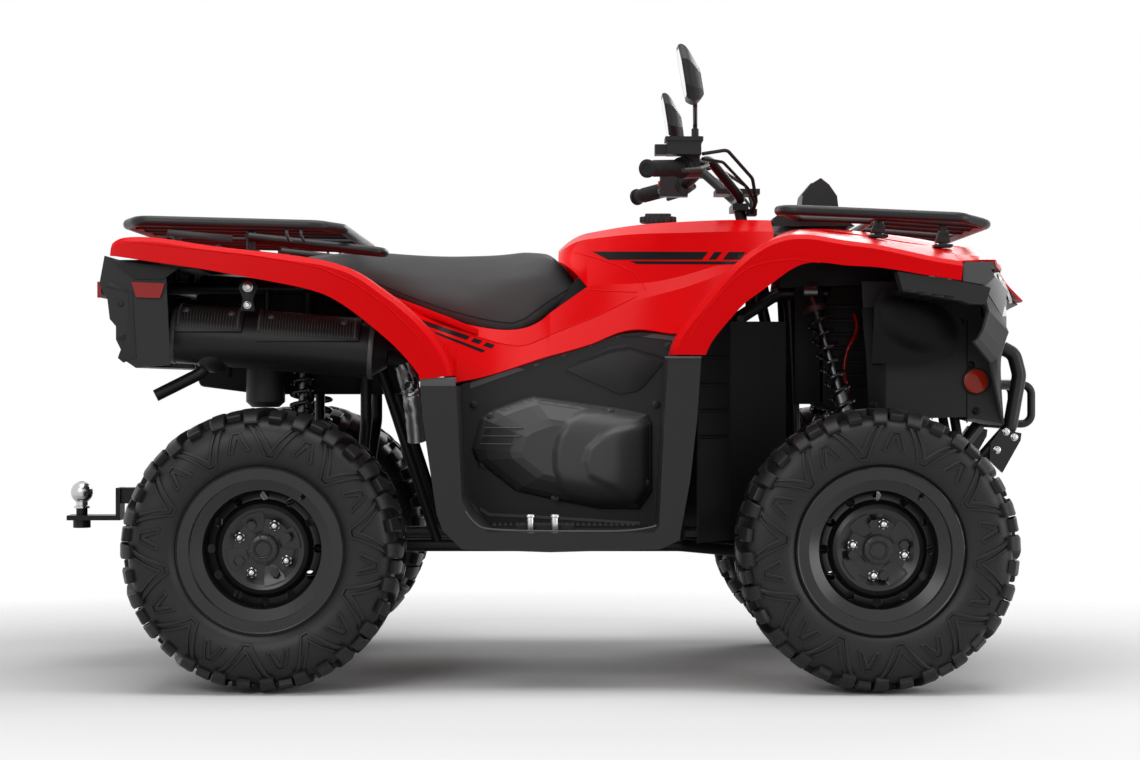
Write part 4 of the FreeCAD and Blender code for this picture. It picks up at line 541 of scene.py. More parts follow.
def skin(form, outline, tree, lift=0.0006, depth=0.0012, grid=0.008):
    """A thin plate of an outline that follows the side's surface under it."""
    flat = cells(outline, grid)
    bmesh.ops.triangulate(flat, faces=flat.faces[:])
    lost = []
    for vert in flat.verts:
        spot = tree.ray_cast(vert.co, INWARD)[0]
        if spot is None:
            lost.append(vert)
        else:
            vert.co = spot - INWARD * lift
    bmesh.ops.delete(flat, geom=lost, context="VERTS")
    drawn(flat, flat.faces[:], INWARD * depth)
    outward(flat)
    add_copy(form, flat)


def beside(line, spot):
    """How far a spot lies to the right of a line, given in X and Z in millimetres."""
    best = None
    for start, end in zip(line, line[1:]):
        run = Vector((end[0] - start[0], end[1] - start[1])) / 1000
        reach = Vector((spot.x - start[0] / 1000, spot.z - start[1] / 1000))
        share = min(max(reach.dot(run) / run.length_squared, 0), 1)
        away = (reach - run * share).length
        if best is None or away < abs(best):
            best = away if run.x * reach.y - run.y * reach.x < 0 else -away
    return best


def ramp(distance, width):
    """A soft step from 0 to 1 over a width, centred on zero."""
    share = min(max(distance / width + 0.5, 0), 1)
    return share * share * (3 - 2 * share)


def moulded(outline, tree, deepest, rounds, rise):
    """A sheet of an outline laid on a side's surface, its folds smoothed out, then raised by
    what rise says for each spot."""
    flat = cells(outline, MOULD_CELL)
    lost = []
    for vert in flat.verts:
        spot = tree.ray_cast(vert.co, INWARD)[0]
        lift = 0 if vert.is_boundary or not rounds else MOULD_LIFT
        vert.co.y = min(spot.y, deepest) - lift if spot else deepest
        if spot is None and not rounds:
            lost.append(vert)
    bmesh.ops.delete(flat, geom=lost, context="VERTS")
    inner = [v for v in flat.verts if not v.is_boundary]
    for _ in range(rounds):
        bmesh.ops.smooth_vert(flat, verts=inner, factor=0.5, use_axis_y=True)
    for vert in inner:
        from_rim = abs(beside(outline + outline[:1], vert.co))
        edge = ramp(from_rim - MOULD_RIM / 2, MOULD_RIM)
        vert.co.y -= edge * rise(vert.co)
    drawn(flat, flat.faces[:], INWARD * MOULD_THICKNESS)
    form = bmesh.new()
    add_copy(form, flat)
    return form


# Tyres

RIB_RADIUS = 0.230
SECTOR = math.radians(36)
CARCASS = (
    (0, 281), (30, 281), (60, 280), (84, 277), (101, 270), (112, 258), (118, 242), (120, 226),
    (119.5, 208), (115, 193), (107, 182), (98.5, 176), (97.2, 166), (96.5, 153.5),
)
# Ribs and lugs laid flat: outline in millimetres (round the tyre, along its section from the
# middle of the tread), rise, and the groove's lip and depth
RIBS = (
    (((-50, 114), (-33, 114), (0, 163), (33, 114), (50, 114), (11, 186), (-11, 186)), 6.0, 4.2, 4.8),
    (((63, 127), (81, 127), (99, 169), (86, 169), (72, 143), (58, 169), (45, 169)), 5.0, 3.2, 3.8),
    ((
        (-54, 117), (-31, 117), (-31, 90), (-38, 66), (-30, 46), (-46, 38), (-58, 66), (-56, 92),
    ), 16.5, 0, 0),
    ((
        (30, 117), (54, 117), (56, 92), (45, 62), (36, 34), (30, 7), (10, 12), (15, 40), (24, 66),
        (30, 92),
    ), 16.8, 0, 0),
    (((-11, 106), (12, 106), (12, 78), (2, 58), (-15, 62), (-12, 80)), 15, 0, 0),
    (((61, 98), (84, 98), (86, 72), (78, 44), (62, 48), (60, 74)), 15.5, 0, 0),
    (((-26, 30), (-6, 26), (-8, 4), (-28, 6)), 15.5, 0, 0),
    (((58, 28), (78, 24), (74, 4), (56, 8)), 15.5, 0, 0),
)
# Where the flat pattern is cut so that it bends with the section, along the section
FOLDS = (0.045, 0.062, 0.078, 0.092, 0.104, 0.112, 0.126, 0.142, 0.158, 0.172)
RIB_FOOT = 0.004


def carcass_stops():
    """The carcass's section as distances along it, places and outward directions."""
    places = [Vector(spot) for spot in metres(CARCASS)]
    stops = []
    run = 0.0
    for n, place in enumerate(places):
        before = places[max(n - 1, 0)]
        after = places[min(n + 1, len(places) - 1)]
        ahead = (after - before).normalized()
        if n:
            run += (place - before).length
        normal = Vector((-ahead.y, ahead.x)) if n else Vector((0, 1))
        stops.append((run, place, normal))
    return stops


STOPS = carcass_stops()


def over_carcass(around, along, rise, squeeze):
    """The place in the tyre of a point of the flat pattern."""
    left = min(abs(along), STOPS[-1][0])
    for (start, place, normal), (end, next_place, next_normal) in zip(STOPS, STOPS[1:]):
        if left <= end:
            break
    share = (left - start) / (end - start)
    spot = place.lerp(next_place, share) + normal.lerp(next_normal, share).normalized() * rise
    angle = around / RIB_RADIUS
    side = 1 if along >= 0 else -1
    return Vector((spot.y * math.sin(angle), spot.x * squeeze * side, spot.y * math.cos(angle)))


def raised(form, outline, rise, lip, depth):
    """A rib or lug on the flat pattern: extruded, its top edge eased, its groove pressed in."""
    foot = form.faces.new([form.verts.new((u, v, -RIB_FOOT)) for u, v in metres(outline)])
    ease = 0.0012 if lip else 0.0022
    top = drawn(form, [foot], (0, 0, rise / 1000 + RIB_FOOT - ease))
    stepped(form, top, ease, ease)
    if lip:
        stepped(form, top, lip / 1000, 0)
        stepped(form, top, 0.0006, -depth / 1000)


def tyre_form(squeeze):
    """A tyre about its own middle: its carcass spun, its pattern wrapped round it."""
    carcass = bmesh.new()
    section = [(-across, radius) for across, radius in CARCASS[:0:-1]] + list(CARCASS)
    ring = [
        carcass.verts.new((0, across * squeeze / 1000, radius / 1000)) for across, radius in section
    ]
    edges = [carcass.edges.new(pair) for pair in zip(ring, ring[1:])]
    edges.append(carcass.edges.new((ring[-1], ring[0])))
    bmesh.ops.spin(
        carcass, geom=ring + edges, cent=(0, 0, 0), axis=(0, 1, 0), angle=FULL_TURN, steps=120,
        use_merge=True,
    )
    outward(carcass)
    for half in (1, -1):
        flat = bmesh.new()
        for rib in RIBS:
            raised(flat, *rib)
        for fold in FOLDS:
            cut(flat, (0, fold, 0), (0, 1, 0))
        shift = 0 if half > 0 else RIB_RADIUS * SECTOR / 4
        for vert in flat.verts:
            vert.co = over_carcass(vert.co.x + shift, vert.co.y * half, vert.co.z, squeeze)
        outward(flat)
        for n in range(10):
            add_copy(carcass, flat.copy(), Matrix.Rotation(n * SECTOR, 4, "Y"))
        flat.free()
    return carcass


def each_wheel():
    """Every wheel's name, its side's sign and its end's row of WHEELS."""
    for end, wheel in WHEELS.items():
        for name, side in SIDES:
            yield f"{end}_{name}", side, wheel


def tyres():
    for name, side, wheel in each_wheel():
        form = tyre_form(wheel["squeeze"])
        turn = Matrix.Rotation(math.radians(wheel["tread_turn"]), 4, "Y")
        flip = Matrix.Rotation(math.pi, 4, "Z") if side < 0 else Matrix.Identity(4)
        bmesh.ops.transform(form, matrix=turn @ flip, verts=form.verts)
        bmesh.ops.translate(form, vec=(wheel["x"], wheel["y"] * side, HUB_Z), verts=form.verts)
        piece(
            f"lugged_tyre_{name}", form, tyre_rubber, 32, recalc=False,
            body=f"wheel_{name}", replaces=(f"tyre_{name}",),
        )


# Wheels

NUT_CIRCLE = 0.055
DISC_FACE = 0.0295
# The rolled lip's section: radius, and height from the rim's edge
RIM_LIP = (
    (0.1478, -0.034), (0.1505, -0.024), (0.1512, -0.008), (0.1545, -0.0025), (0.1590, -0.0012),
    (0.1640, -0.0014), (0.1690, -0.0005), (0.1722, 0.0015), (0.1738, 0.0005), (0.1742, -0.002),
    (0.1732, -0.0042), (0.1600, -0.0045), (0.1493, -0.006), (0.1478, -0.034),
)
PETAL = ((34.5, -8.5), (47, -16.5), (64, -24.5), (74.5, -23.5), (77.5, -12), (78.2, 0))
PETAL_FOOT = 0.0305
DISH_START = 0.062
DISH_SLOPE = 0.55
CENTRE_CAP = (
    (0, 49.2), (15, 49.2), (16.5, 51.2), (18.5, 51.6), (20, 50), (25.5, 49.6), (29, 48),
    (31.2, 44), (32.2, 36), (32.2, 30), (0, 30),
)


def wheel_face(wheel, side):
    """The place of a wheel's outer face: its own Z points outwards."""
    turn = Matrix.Rotation(math.radians(90 if side < 0 else -90), 4, "X")
    return Matrix.Translation((wheel["x"], wheel["y"] * side, HUB_Z)) @ turn


def round_face(degrees):
    return Matrix.Rotation(math.radians(degrees), 4, "Z")


def wheel_nuts():
    for name, side, wheel in each_wheel():
        form = bmesh.new()
        for n in range(4):
            angle = math.radians(wheel["nut_turn"] + 90 * n) * (1 if side < 0 else -1)
            place = (NUT_CIRCLE * math.cos(angle), NUT_CIRCLE * math.sin(angle), DISC_FACE)
            acorn(form, wheel_face(wheel, side) @ Matrix.Translation(place), 0.0112, 0.0275)
        piece(f"wheel_nuts_{name}", form, zinc, 40, body=f"wheel_{name}")


def petal():
    """One raised petal of the disc, dished towards the rim."""
    form = bmesh.new()
    outline = metres(PETAL)
    ring = [form.verts.new((u, v, 0)) for u, v in outline]
    ring += [form.verts.new((u, -v, 0)) for u, v in reversed(outline[:-1])]
    top = drawn(form, [form.faces.new(ring)], (0, 0, 0.0022))
    stepped(form, top, 0.0022, 0.0010)
    stepped(form, top, 0.0042, 0.0004)
    for vert in form.verts:
        vert.co.z += PETAL_FOOT + max(0.0, vert.co.xy.length - DISH_START) * DISH_SLOPE
    outward(form)
    return form


def wheel_pressing():
    """The rolled steps of the rim's lip, the raised petals of the disc and the centre cap."""
    for name, side, wheel in each_wheel():
        face = wheel_face(wheel, side)
        half = wheel["half"]
        form = bmesh.new()
        turned(form, [(radius, half + up) for radius, up in RIM_LIP], face, 96)
        for n in range(4):
            angle = wheel["nut_turn"] + 90 * n + 45
            add_copy(form, petal(), face @ round_face(angle if side < 0 else -angle))
        turned(form, metres(CENTRE_CAP), face, 64)
        for n in range(8):
            rib = bmesh.new()
            slab(rib, (0.0205, -0.0016, 0.0470), (0.0302, 0.0016, 0.0510), 0.0006)
            add_copy(form, rib, face @ round_face(45 * n + 12))
        valve = bmesh.new()
        bar(valve, (0.1385, 0, half - 0.032), (0.1360, 0, half - 0.004), 0.0052, 0.0040, 16)
        bar(valve, (0.1361, 0, half - 0.006), (0.1352, 0, half + 0.001), 0.0032, 0.0032, 12, 0.0005)
        add_copy(form, valve, face @ round_face(52 if side < 0 else 128))
        piece(f"wheel_pressing_{name}", form, rim_paint, 35, body=f"wheel_{name}")


# Springs

# The right side's dampers: top, foot and the spring's turns
DAMPERS = (
    ((0.584, -0.192, 0.850), (0.700, -0.300, 0.4125), 9),
    ((-0.538, -0.200, 0.725), (-0.543, -0.215, 0.405), 8),
)
COIL_RADIUS = 0.0225
WIRE_RADIUS = 0.0052
# Where the spring starts and ends, as shares of its damper's length
SPRING_START, SPRING_END = 0.112, 0.778
STEPS_PER_TURN = 22
END_GAP = 0.0055


def coil_springs():
    for side, name in ((1, "right"), (-1, "left")):
        form = bmesh.new()
        for top, low, turns in DAMPERS:
            high = Vector(top).lerp(Vector(low), SPRING_START)
            run = Vector(top).lerp(Vector(low), SPRING_END) - high
            wire = bmesh.new()
            made = bmesh.ops.create_circle(wire, radius=WIRE_RADIUS, segments=10)
            loop = made["verts"] + wire.edges[:]
            upright = Matrix.Rotation(math.pi / 2, 3, "X")
            bmesh.ops.rotate(wire, cent=(0, 0, 0), matrix=upright, verts=wire.verts)
            bmesh.ops.translate(wire, vec=(COIL_RADIUS, 0, END_GAP), verts=wire.verts)
            steps = turns * STEPS_PER_TURN
            climb = (run.length - 2 * END_GAP) / steps
            bmesh.ops.spin(
                wire, geom=loop, cent=(0, 0, 0), axis=(0, 0, 1), dvec=(0, 0, climb),
                angle=FULL_TURN * turns, steps=steps,
            )
            bmesh.ops.holes_fill(wire, edges=[e for e in wire.edges if e.is_boundary])
            outward(wire)
            add_copy(form, wire, facing(high, run))
        if side < 0:
            bmesh.ops.scale(form, vec=(1, -1, 1), verts=form.verts)
        piece(
            f"coil_springs_{name}", form, black_gloss, recalc=side < 0,
            replaces=("springs",),
        )


# Seat

SEAT_CELL = 0.006
SEAT_CAP = 0.022
SEAT_SHRINK = (0.988, 0.965, 0.97)
SEAT_PAST = 0.004
SEAT_SEAM = (
    (-462, 905), (-430, 893), (-390, 876), (-325, 849), (-280, 831), (-214, 809), (-147, 791),
    (-103, 783), (-76, 781), (-48, 791), (-3, 825), (41, 853), (66, 862),
)


def freeze(item):
    """Make a piece's modifiers part of its mesh."""
    depsgraph = bpy.context.evaluated_depsgraph_get()
    made = bpy.data.meshes.new_from_object(item.evaluated_get(depsgraph))
    item.modifiers.clear()
    old = item.data
    item.data = made
    bpy.data.meshes.remove(old)


def smoothed(item, rounds):
    soften = item.modifiers.new("soften", "SMOOTH")
    soften.factor = 0.5
    soften.iterations = rounds
    freeze(item)


def swell(item, pressure, cap):
    """Blow the cover up a little by cloth simulation, no point further than the cap."""
    start = [v.co.copy() for v in item.data.vertices]
    cloth = item.modifiers.new("swell", "CLOTH")
    cloth.settings.quality = 5
    cloth.settings.mass = 0.35
    cloth.settings.tension_stiffness = 90
    cloth.settings.compression_stiffness = 90
    cloth.settings.shear_stiffness = 60
    cloth.settings.bending_stiffness = 12
    cloth.settings.use_pressure = True
    cloth.settings.uniform_pressure_force = pressure
    cloth.settings.effector_weights.gravity = 0
    for frame_number in range(1, 21):
        scene.frame_set(frame_number)
    freeze(item)
    scene.frame_set(1)
    for vert, was in zip(item.data.vertices, start):
        move = vert.co - was
        if move.length > cap:
            vert.co = was + move.normalized() * cap


def seat_pad():
    """The seat's cover over its foam, grown soft from the CAD seat."""
    form = bmesh.new()
    form.from_mesh(nodes["seat"].data)
    bmesh.ops.remove_doubles(form, verts=form.verts, dist=0.0001)
    low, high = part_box("seat")
    middle = (Vector(low) + Vector(high)) / 2
    for vert in form.verts:
        vert.co.x = middle.x + (vert.co.x - middle.x) * SEAT_SHRINK[0]
        vert.co.y *= SEAT_SHRINK[1]
        vert.co.z = middle.z + (vert.co.z - middle.z) * SEAT_SHRINK[2]
    item = piece(
        "seat_pad", form, seat_cover, 180, recalc=False, replaces=("seat",),
    )
    remesh = item.modifiers.new("remesh", "REMESH")
    remesh.mode = "VOXEL"
    remesh.voxel_size = SEAT_CELL
    smoothed(item, 5)
    swell(item, 4, SEAT_CAP)
    smoothed(item, 30)
    refine = item.modifiers.new("refine", "SUBSURF")
    refine.levels = 1
    refine.render_levels = 1
    freeze(item)
    for vert in item.data.vertices:
        for axis in range(3):
            least, most = low[axis] - SEAT_PAST, high[axis] + SEAT_PAST
            vert.co[axis] = min(max(vert.co[axis], least), most)
    item.data.shade_smooth()


def seat_seam():
    """The welt between the seat's upper cover and the band along its foot."""
    hull = bmesh.new()
    hull.from_mesh(bpy.data.objects["seat_pad"].data)
    tree = BVHTree.FromBMesh(hull)
    hull.free()
    form = bmesh.new()
    pipe(form, side_line(tree, SEAT_SEAM, 5, -0.0004), 0.0019, 3)
    piece("seat_welt", form, seat_thread, 180, both=True, recalc=False)


# Bodywork trim: bands, creases and outlines in millimetres, in X and Z

TANK_BAND = ((101, 940), (440, 937), (428, 920), (137, 921))
TANK_BREAKS = ((344, 358), (375, 389))
TANK_LINE = ((184, 918), (424, 916), (414, 909), (200, 911))
STRIP_BAND = ((-277, 788), (-113, 731), (-120, 723), (-258, 771))
STRIP_BREAKS = ((-175, -166), (-148, -139))
STRIP_LINE = ((-248, 762), (-133, 719), (-140, 714), (-247, 757))


def broken_band(form, band, breaks, tree, lean):
    """A stripe laid on the cover, cut through by slanted gaps."""
    (top_x, top_z), (end_x, end_z), (foot_x, foot_z), (low_x, low_z) = band

    def upper(x):
        return top_z + (end_z - top_z) * (x - top_x) / (end_x - top_x)

    def lower(x):
        return low_z + (foot_z - low_z) * (x - low_x) / (foot_x - low_x)

    starts = [None] + [stop for _, stop in breaks]
    stops = [start for start, _ in breaks] + [None]
    for start, stop in zip(starts, stops):
        left = [(low_x, low_z), (top_x, top_z)]
        if start is not None:
            left = [(start, lower(start)), (start + lean, upper(start + lean))]
        right = [(end_x, end_z), (foot_x, foot_z)]
        if stop is not None:
            right = [(stop + lean, upper(stop + lean)), (stop, lower(stop))]
        skin(form, left + right, tree)


def stripes():
    tree = surfaces("tank_cover")
    form = bmesh.new()
    broken_band(form, TANK_BAND, TANK_BREAKS, tree, 14)
    broken_band(form, STRIP_BAND, STRIP_BREAKS, tree, 8)
    for line in (TANK_LINE, STRIP_LINE):
        skin(form, line, tree)
    piece("stripes", form, stripe_black, both=True, recalc=False)


TANK_CREASES = (
    (
        (-300, 806), (-233, 777), (-167, 754), (-102, 734), (-62, 728), (-36, 733), (8, 753),
        (60, 773), (118, 797), (215, 846),
    ),
    ((8, 891), (22, 872), (48, 860), (120, 851), (215, 846)),
    ((62, 938), (100, 928), (150, 912), (190, 893), (212, 868), (220, 848)),
    ((440, 925), (405, 880), (370, 820), (330, 770), (300, 755)),
)
FENDER_CREASES = (
    (
        (300, 740), (338, 802), (390, 862), (425, 888), (470, 901), (520, 905), (600, 896),
        (700, 878), (800, 861), (838, 855),
    ),
    (
        (-878, 943), (-720, 926), (-616, 914), (-520, 899), (-470, 888), (-400, 856),
        (-330, 808), (-270, 748), (-235, 690),
    ),
)


def creases():
    """Raised lines along the covers' and fenders' edges, in the covers' own paint."""
    form = bmesh.new()
    tank, fenders = surfaces("tank_cover"), surfaces("front_body", "rear_body")
    for tree, lines in ((tank, TANK_CREASES), (fenders, FENDER_CREASES)):
        for line in lines:
            pipe(form, side_line(tree, line, 6, -0.0006), 0.0017, 3)
    piece("cover_creases", form, red_plastic, 180, both=True, recalc=False)


PANEL_EDGE = (
    (-186, 640), (118, 746), (162, 759), (205, 759), (286, 748), (286, 739), (205, 749),
    (164, 749), (120, 735), (-184, 629),
)
PANEL_FACET = ((41, 676), (139, 712), (183, 719), (256, 692), (214, 640), (196, 628), (160, 622))
PANEL_HOLLOW = ((62, 690), (139, 727), (180, 733), (262, 706), (256, 699), (182, 724), (140, 717))
PANEL_FOOT = (
    (-180, 409), (-149, 379), (-123, 363), (-35, 359), (118, 350), (205, 344), (205, 338),
    (118, 344), (-35, 353), (-126, 357), (-153, 374), (-184, 406),
)
PANEL_FACE = -0.262


def panel_trim():
    """The side panel's top chamfer as a pale band, a painted highlight, its raised facet and the edge
    along its foot.
    """
    tree = surfaces("side_panels")
    form = bmesh.new()
    for outline in (PANEL_EDGE, PANEL_FOOT):
        skin(form, outline, tree, lift=0.0022, depth=0.0024, grid=0.02)
    piece("panel_edges", form, pale_trim_and_highlight_grey, smooth=50, both=True, recalc=False)
    form = bmesh.new()
    for outline, lift in ((PANEL_FACET, 0.0045), (PANEL_HOLLOW, 0.002)):
        prism(form, metres(outline), PANEL_FACE + 0.002, PANEL_FACE - lift, 0.0018)
    spots = ((0.268, 0.728), (-0.158, 0.600), (0.240, 0.600))
    screws(form, [(x, PANEL_FACE - 0.0005, z) for x, z in spots], 0.0075)
    piece("panel_facets", form, black_moulding, both=True)


BELT_FACE = (
    (-136, 568), (-110, 585), (-49, 608), (-26, 613), (149, 589), (215, 576), (225, 557), (225, 413),
    (199, 377), (115, 377), (31, 393), (-62, 415), (-147, 481), (-155, 505),
)
BELT_CREST = (
    (59, 360), (30, 416), (20, 460), (19, 500), (28, 535), (46, 566), (77, 588), (146, 594),
    (240, 578),
)
BELT_POCKET = (
    (250, 552), (206, 556), (153, 546), (117, 530), (92, 506), (84, 477), (94, 448), (146, 420),
    (200, 380),
)
BELT_SCREWS = ((-120, 575), (140, 584), (215, 430), (20, 398), (-140, 470))
# The slits' starts, ends and heights
BELT_SLITS = ((-134, -50, 550), (-139, -56, 532), (-143, -72, 515))
CREST_RISE, CREST_WIDTH = 0.011, 0.022
POCKET_DEPTH, POCKET_WIDTH = 0.006, 0.014
BELT_FLOOR = -0.262


def belt_cover_trim():
    """The moulded face of the drive belt's cover, with its crest and pocket, and its screws."""
    def rise(spot):
        pocket = POCKET_DEPTH * ramp(beside(BELT_POCKET, spot), POCKET_WIDTH)
        return CREST_RISE * ramp(beside(BELT_CREST, spot), CREST_WIDTH) - pocket

    tree = surfaces("side_covers")
    form = moulded(BELT_FACE, tree, BELT_FLOOR, 30, rise)
    piece("belt_cover_face", form, cover_grey, smooth=50, both=True)
    form = bmesh.new()
    screws(form, [side_spot(tree, u, v, -0.001) for u, v in BELT_SCREWS], 0.0075)
    piece("belt_cover_trim", form, cover_grey, smooth=35)
    form = bmesh.new()
    for start, end, v in BELT_SLITS:
        spots = [side_spot(tree, start + (end - start) * n / 6, v, 0.0048) for n in range(7)]
        pipe(form, spots, 0.0016, 3)
    piece("belt_cover_slits", form, pale_trim_and_highlight_grey, recalc=False)


CHEEK = (
    (706, 690), (712, 826), (730, 846), (850, 828), (884, 806), (902, 780), (900, 736), (880, 706),
    (820, 690),
)
CHEEK_X, CHEEK_Z = 0.800, 0.778
CHEEK_LENGTH, CHEEK_HEIGHT = 0.098, 0.068
CHEEK_LEAN = 0.25
CHEEK_RISE = 0.016
CHEEK_FLOOR = -0.300


def nose_cheeks():
    """The smooth cheek over each front wheel, ahead of the strap, in a darker black than the fascia as
    painted shade.
    """
    def rise(spot):
        along = (spot.x - CHEEK_X) / CHEEK_LENGTH
        up = (spot.z - CHEEK_Z + (spot.x - CHEEK_X) * CHEEK_LEAN) / CHEEK_HEIGHT
        return CHEEK_RISE * ramp(0.5 - (along ** 2 + up ** 2), 1.0)

    form = moulded(CHEEK, surfaces("nose_fascia"), CHEEK_FLOOR, 0, rise)
    piece("nose_cheeks", form, liner_and_shade_black, smooth=60, both=True)


# Front end

STRAP = ((690, 812), (742, 812), (744, 700), (742, 566), (706, 566), (700, 700))
STRAP_FACE = -0.2535
STRAP_SLOT = ((713.5, 781), (734.5, 781), (734.5, 687), (713.5, 687))
LINER_RIBS = (0.704, 0.643, 0.587, 0.530)
NOSE_SIDE = -0.2502


def arch_lining_trim():
    """The inner wing's fittings: slotted strap, screws, and the ribs behind the wheel."""
    form = bmesh.new()
    prism(form, metres(STRAP), -0.2500, STRAP_FACE, 0.0016)
    screws(form, ((0.930, NOSE_SIDE, 0.687), (0.941, NOSE_SIDE, 0.586)), 0.007)
    screws(form, ((0.716, STRAP_FACE, 0.600), (0.905, NOSE_SIDE, 0.780)), 0.007)
    slab(form, (0.9195, -0.2512, 0.560), (0.9225, -0.2498, 0.785), 0.0005)
    piece("arch_lining_trim", form, liner_and_shade_black, smooth=35, both=True)
    form = bmesh.new()
    prism(form, metres(STRAP_SLOT), STRAP_FACE + 0.0005, STRAP_FACE - 0.0006, 0.0)
    piece("arch_lining_slots", form, shadow_black, both=True)
    tree = surfaces("front_liners")
    form = bmesh.new()
    for z in LINER_RIBS:
        starts = [Vector((0.75, -0.312 + n * 0.010, z)) for n in range(12)]
        spots = [tree.ray_cast(start, Vector((-1, 0, 0)))[0] for start in starts]
        pipe(form, [spot for spot in spots if spot], 0.0042, 4)
    piece("liner_ribs", form, liner_and_shade_black, smooth=180, both=True, recalc=False)


# Sections in millimetres, as radius and height
REFLECTOR_RING = ((0, 0), (29, 0), (30, 1.5), (29.8, 6), (28.2, 7.2), (26.8, 6), (26.4, 3), (0, 2.8))
REFLECTOR_LENS = ((0, 2.6), (26.2, 2.6), (26.2, 5.2), (24.5, 6.2), (0, 6.8))


def side_reflectors():
    """Round amber reflectors in black rings on the nose's sides."""
    for name, section, paint, slot in (
        ("reflector_rings", REFLECTOR_RING, black_moulding, "black_moulding"),
        ("reflector_lenses", REFLECTOR_LENS, lamp_amber, "tail_lens"),
    ):
        form = bmesh.new()
        for _, side in SIDES:
            turn = Matrix.Rotation(math.radians(90 if side < 0 else -90), 4, "X")
            place = Matrix.Translation((0.940, 0.2500 * side, 0.651)) @ turn
            turned(form, metres(section), place, 48)
        piece(name, form, paint, 40)


BUMPER_COVER = ((934, 736), (958, 768), (978, 782), (1003, 768), (998.5, 716), (960, 722))


def bumper_trim():
    """Pressed covers over the bumper's upper ends, and its screws."""
    form = bmesh.new()
    prism(form, metres(BUMPER_COVER), -0.2235, -0.2550, 0.006)
    piece("bumper_covers", form, pale_trim_and_highlight_grey, 50, both=True)
    form = bmesh.new()
    spots = ((1.012, 0.540), (0.992, 0.500), (1.030, 0.528))
    screws(form, [(x, -0.2220, z) for x, z in spots], 0.0065)
    piece("bumper_screws", form, zinc, 40, both=True)


SLATS = 6
SLAT_PITCH = 0.019
SLAT_HEIGHT = 0.008
GRILLE_X, GRILLE_Z = 1.0005, 0.628
GRILLE_HALF = 0.150


def grille():
    """Slats and uprights across the nose. The third slat stands furthest back."""
    form = bmesh.new()
    for n in range(SLATS):
        z = GRILLE_Z + n * SLAT_PITCH
        x = GRILLE_X + abs(n - 2) * 0.0012
        low, high = (x - 0.003, -GRILLE_HALF, z), (x + 0.0045, GRILLE_HALF, z + SLAT_HEIGHT)
        slab(form, low, high, 0.0018)
    for y in (-GRILLE_HALF, -0.050, 0.050, GRILLE_HALF):
        slab(form, (0.9985, y - 0.004, 0.615), (1.0045, y + 0.004, 0.745), 0.0016)
    piece("nose_grille", form, black_moulding, smooth=40)


# Each bowl's middle in Y and Z, and its radius
LAMP_BOWLS = ((-0.225, 0.838, 0.030), (-0.300, 0.846, 0.027), (-0.372, 0.868, 0.014))


def headlamp_trim():
    """The lamp bowls and their rims, seen in the lenses' faces."""
    tree = surfaces("headlamps")
    rims = bmesh.new()
    bowls = bmesh.new()
    for y, z, radius in LAMP_BOWLS:
        spot, normal, _, _ = tree.ray_cast(Vector((1.2, y, z)), Vector((-1, 0, 0)))
        place = facing(spot, normal)
        turned(rims, [
            (radius * 0.86, -0.004), (radius, -0.004), (radius, 0.0014), (radius * 0.95, 0.0020),
            (radius * 0.86, 0.0006), (radius * 0.86, -0.004),
        ], place)
        turned(bowls, [
            (0, -0.0020), (radius * 0.85, -0.0020), (radius * 0.85, 0.0004),
            (radius * 0.45, 0.0012), (0, 0.0022),
        ], place)
    piece("headlamp_rims", rims, zinc, 40, both=True)
    piece("headlamp_bowls", bowls, lamp_glass, 40, both=True)


# Racks

RACK_FOOT_Y = (-0.318, -0.282)


def rack_trim():
    """Hooks, flat bars and rubber feet on both racks."""
    form = bmesh.new()
    lean = Matrix.Rotation(math.radians(5.5), 4, "Y")
    slab(form, (-0.800, -0.4300, 0.9515), (-0.662, -0.4235, 0.9655), 0.0016, lean)
    for x in (-0.547, -0.517):
        pipe(form, [
            (x, -0.425, 0.972), (x, -0.441, 0.968), (x + 0.004, -0.446, 0.952),
            (x + 0.010, -0.440, 0.945),
        ], 0.0032, 4)
    near, far = RACK_FOOT_Y
    for x, z, posted in (
        (-0.800, 0.952, False), (-0.640, 0.938, False), (0.720, 0.972, True), (0.860, 0.951, True),
    ):
        slab(form, (x - 0.020, near, z - 0.010), (x + 0.020, far, z - 0.003), 0.0015)
        if posted:
            post = [(x - 0.016, z), (x + 0.016, z), (x + 0.009, z + 0.026), (x - 0.009, z + 0.026)]
            prism(form, post, -0.2875, -0.3125, 0.0015)
    piece("rack_trim", form, tube_coat, 40, both=True)


# Silencer

CAN_X, CAN_Y, CAN_Z = -0.800, -0.330, 0.7514
# The can falls towards the front by this much over this length
CAN_FALL, CAN_RUN = 36, 448
CAN_RADIUS = 0.060
# Each heat shield's ends along X, the way between its ridges, and the angles of its ridges'
# ends and of its bolts
SHIELDS = ((-0.783, -0.656), (-0.611, -0.406))
RIDGE_PITCH = 0.0062
RIDGE_ANGLES = range(18, 115, 12)
BOLT_ANGLE = 52
# The rolled seam's section: height over the can, and place along it
CAN_SEAM = ((-0.001, -0.006), (0.0018, -0.0045), (0.0026, 0), (0.0018, 0.0045), (-0.001, 0.006))
HANGER = (
    (-646, 866), (-618, 866), (-612, 850), (-622, 826), (-618, 800), (-650, 800), (-644, 826),
    (-654, 850),
)
HANGER_FACE = -0.400


def can_middle(x):
    return Vector((x, CAN_Y, CAN_Z - (x - CAN_X) * CAN_FALL / CAN_RUN))


def round_can(degrees):
    """The direction away from the can's middle at an angle above the horizon."""
    angle = math.radians(degrees)
    return Vector((0, -math.cos(angle), math.sin(angle)))


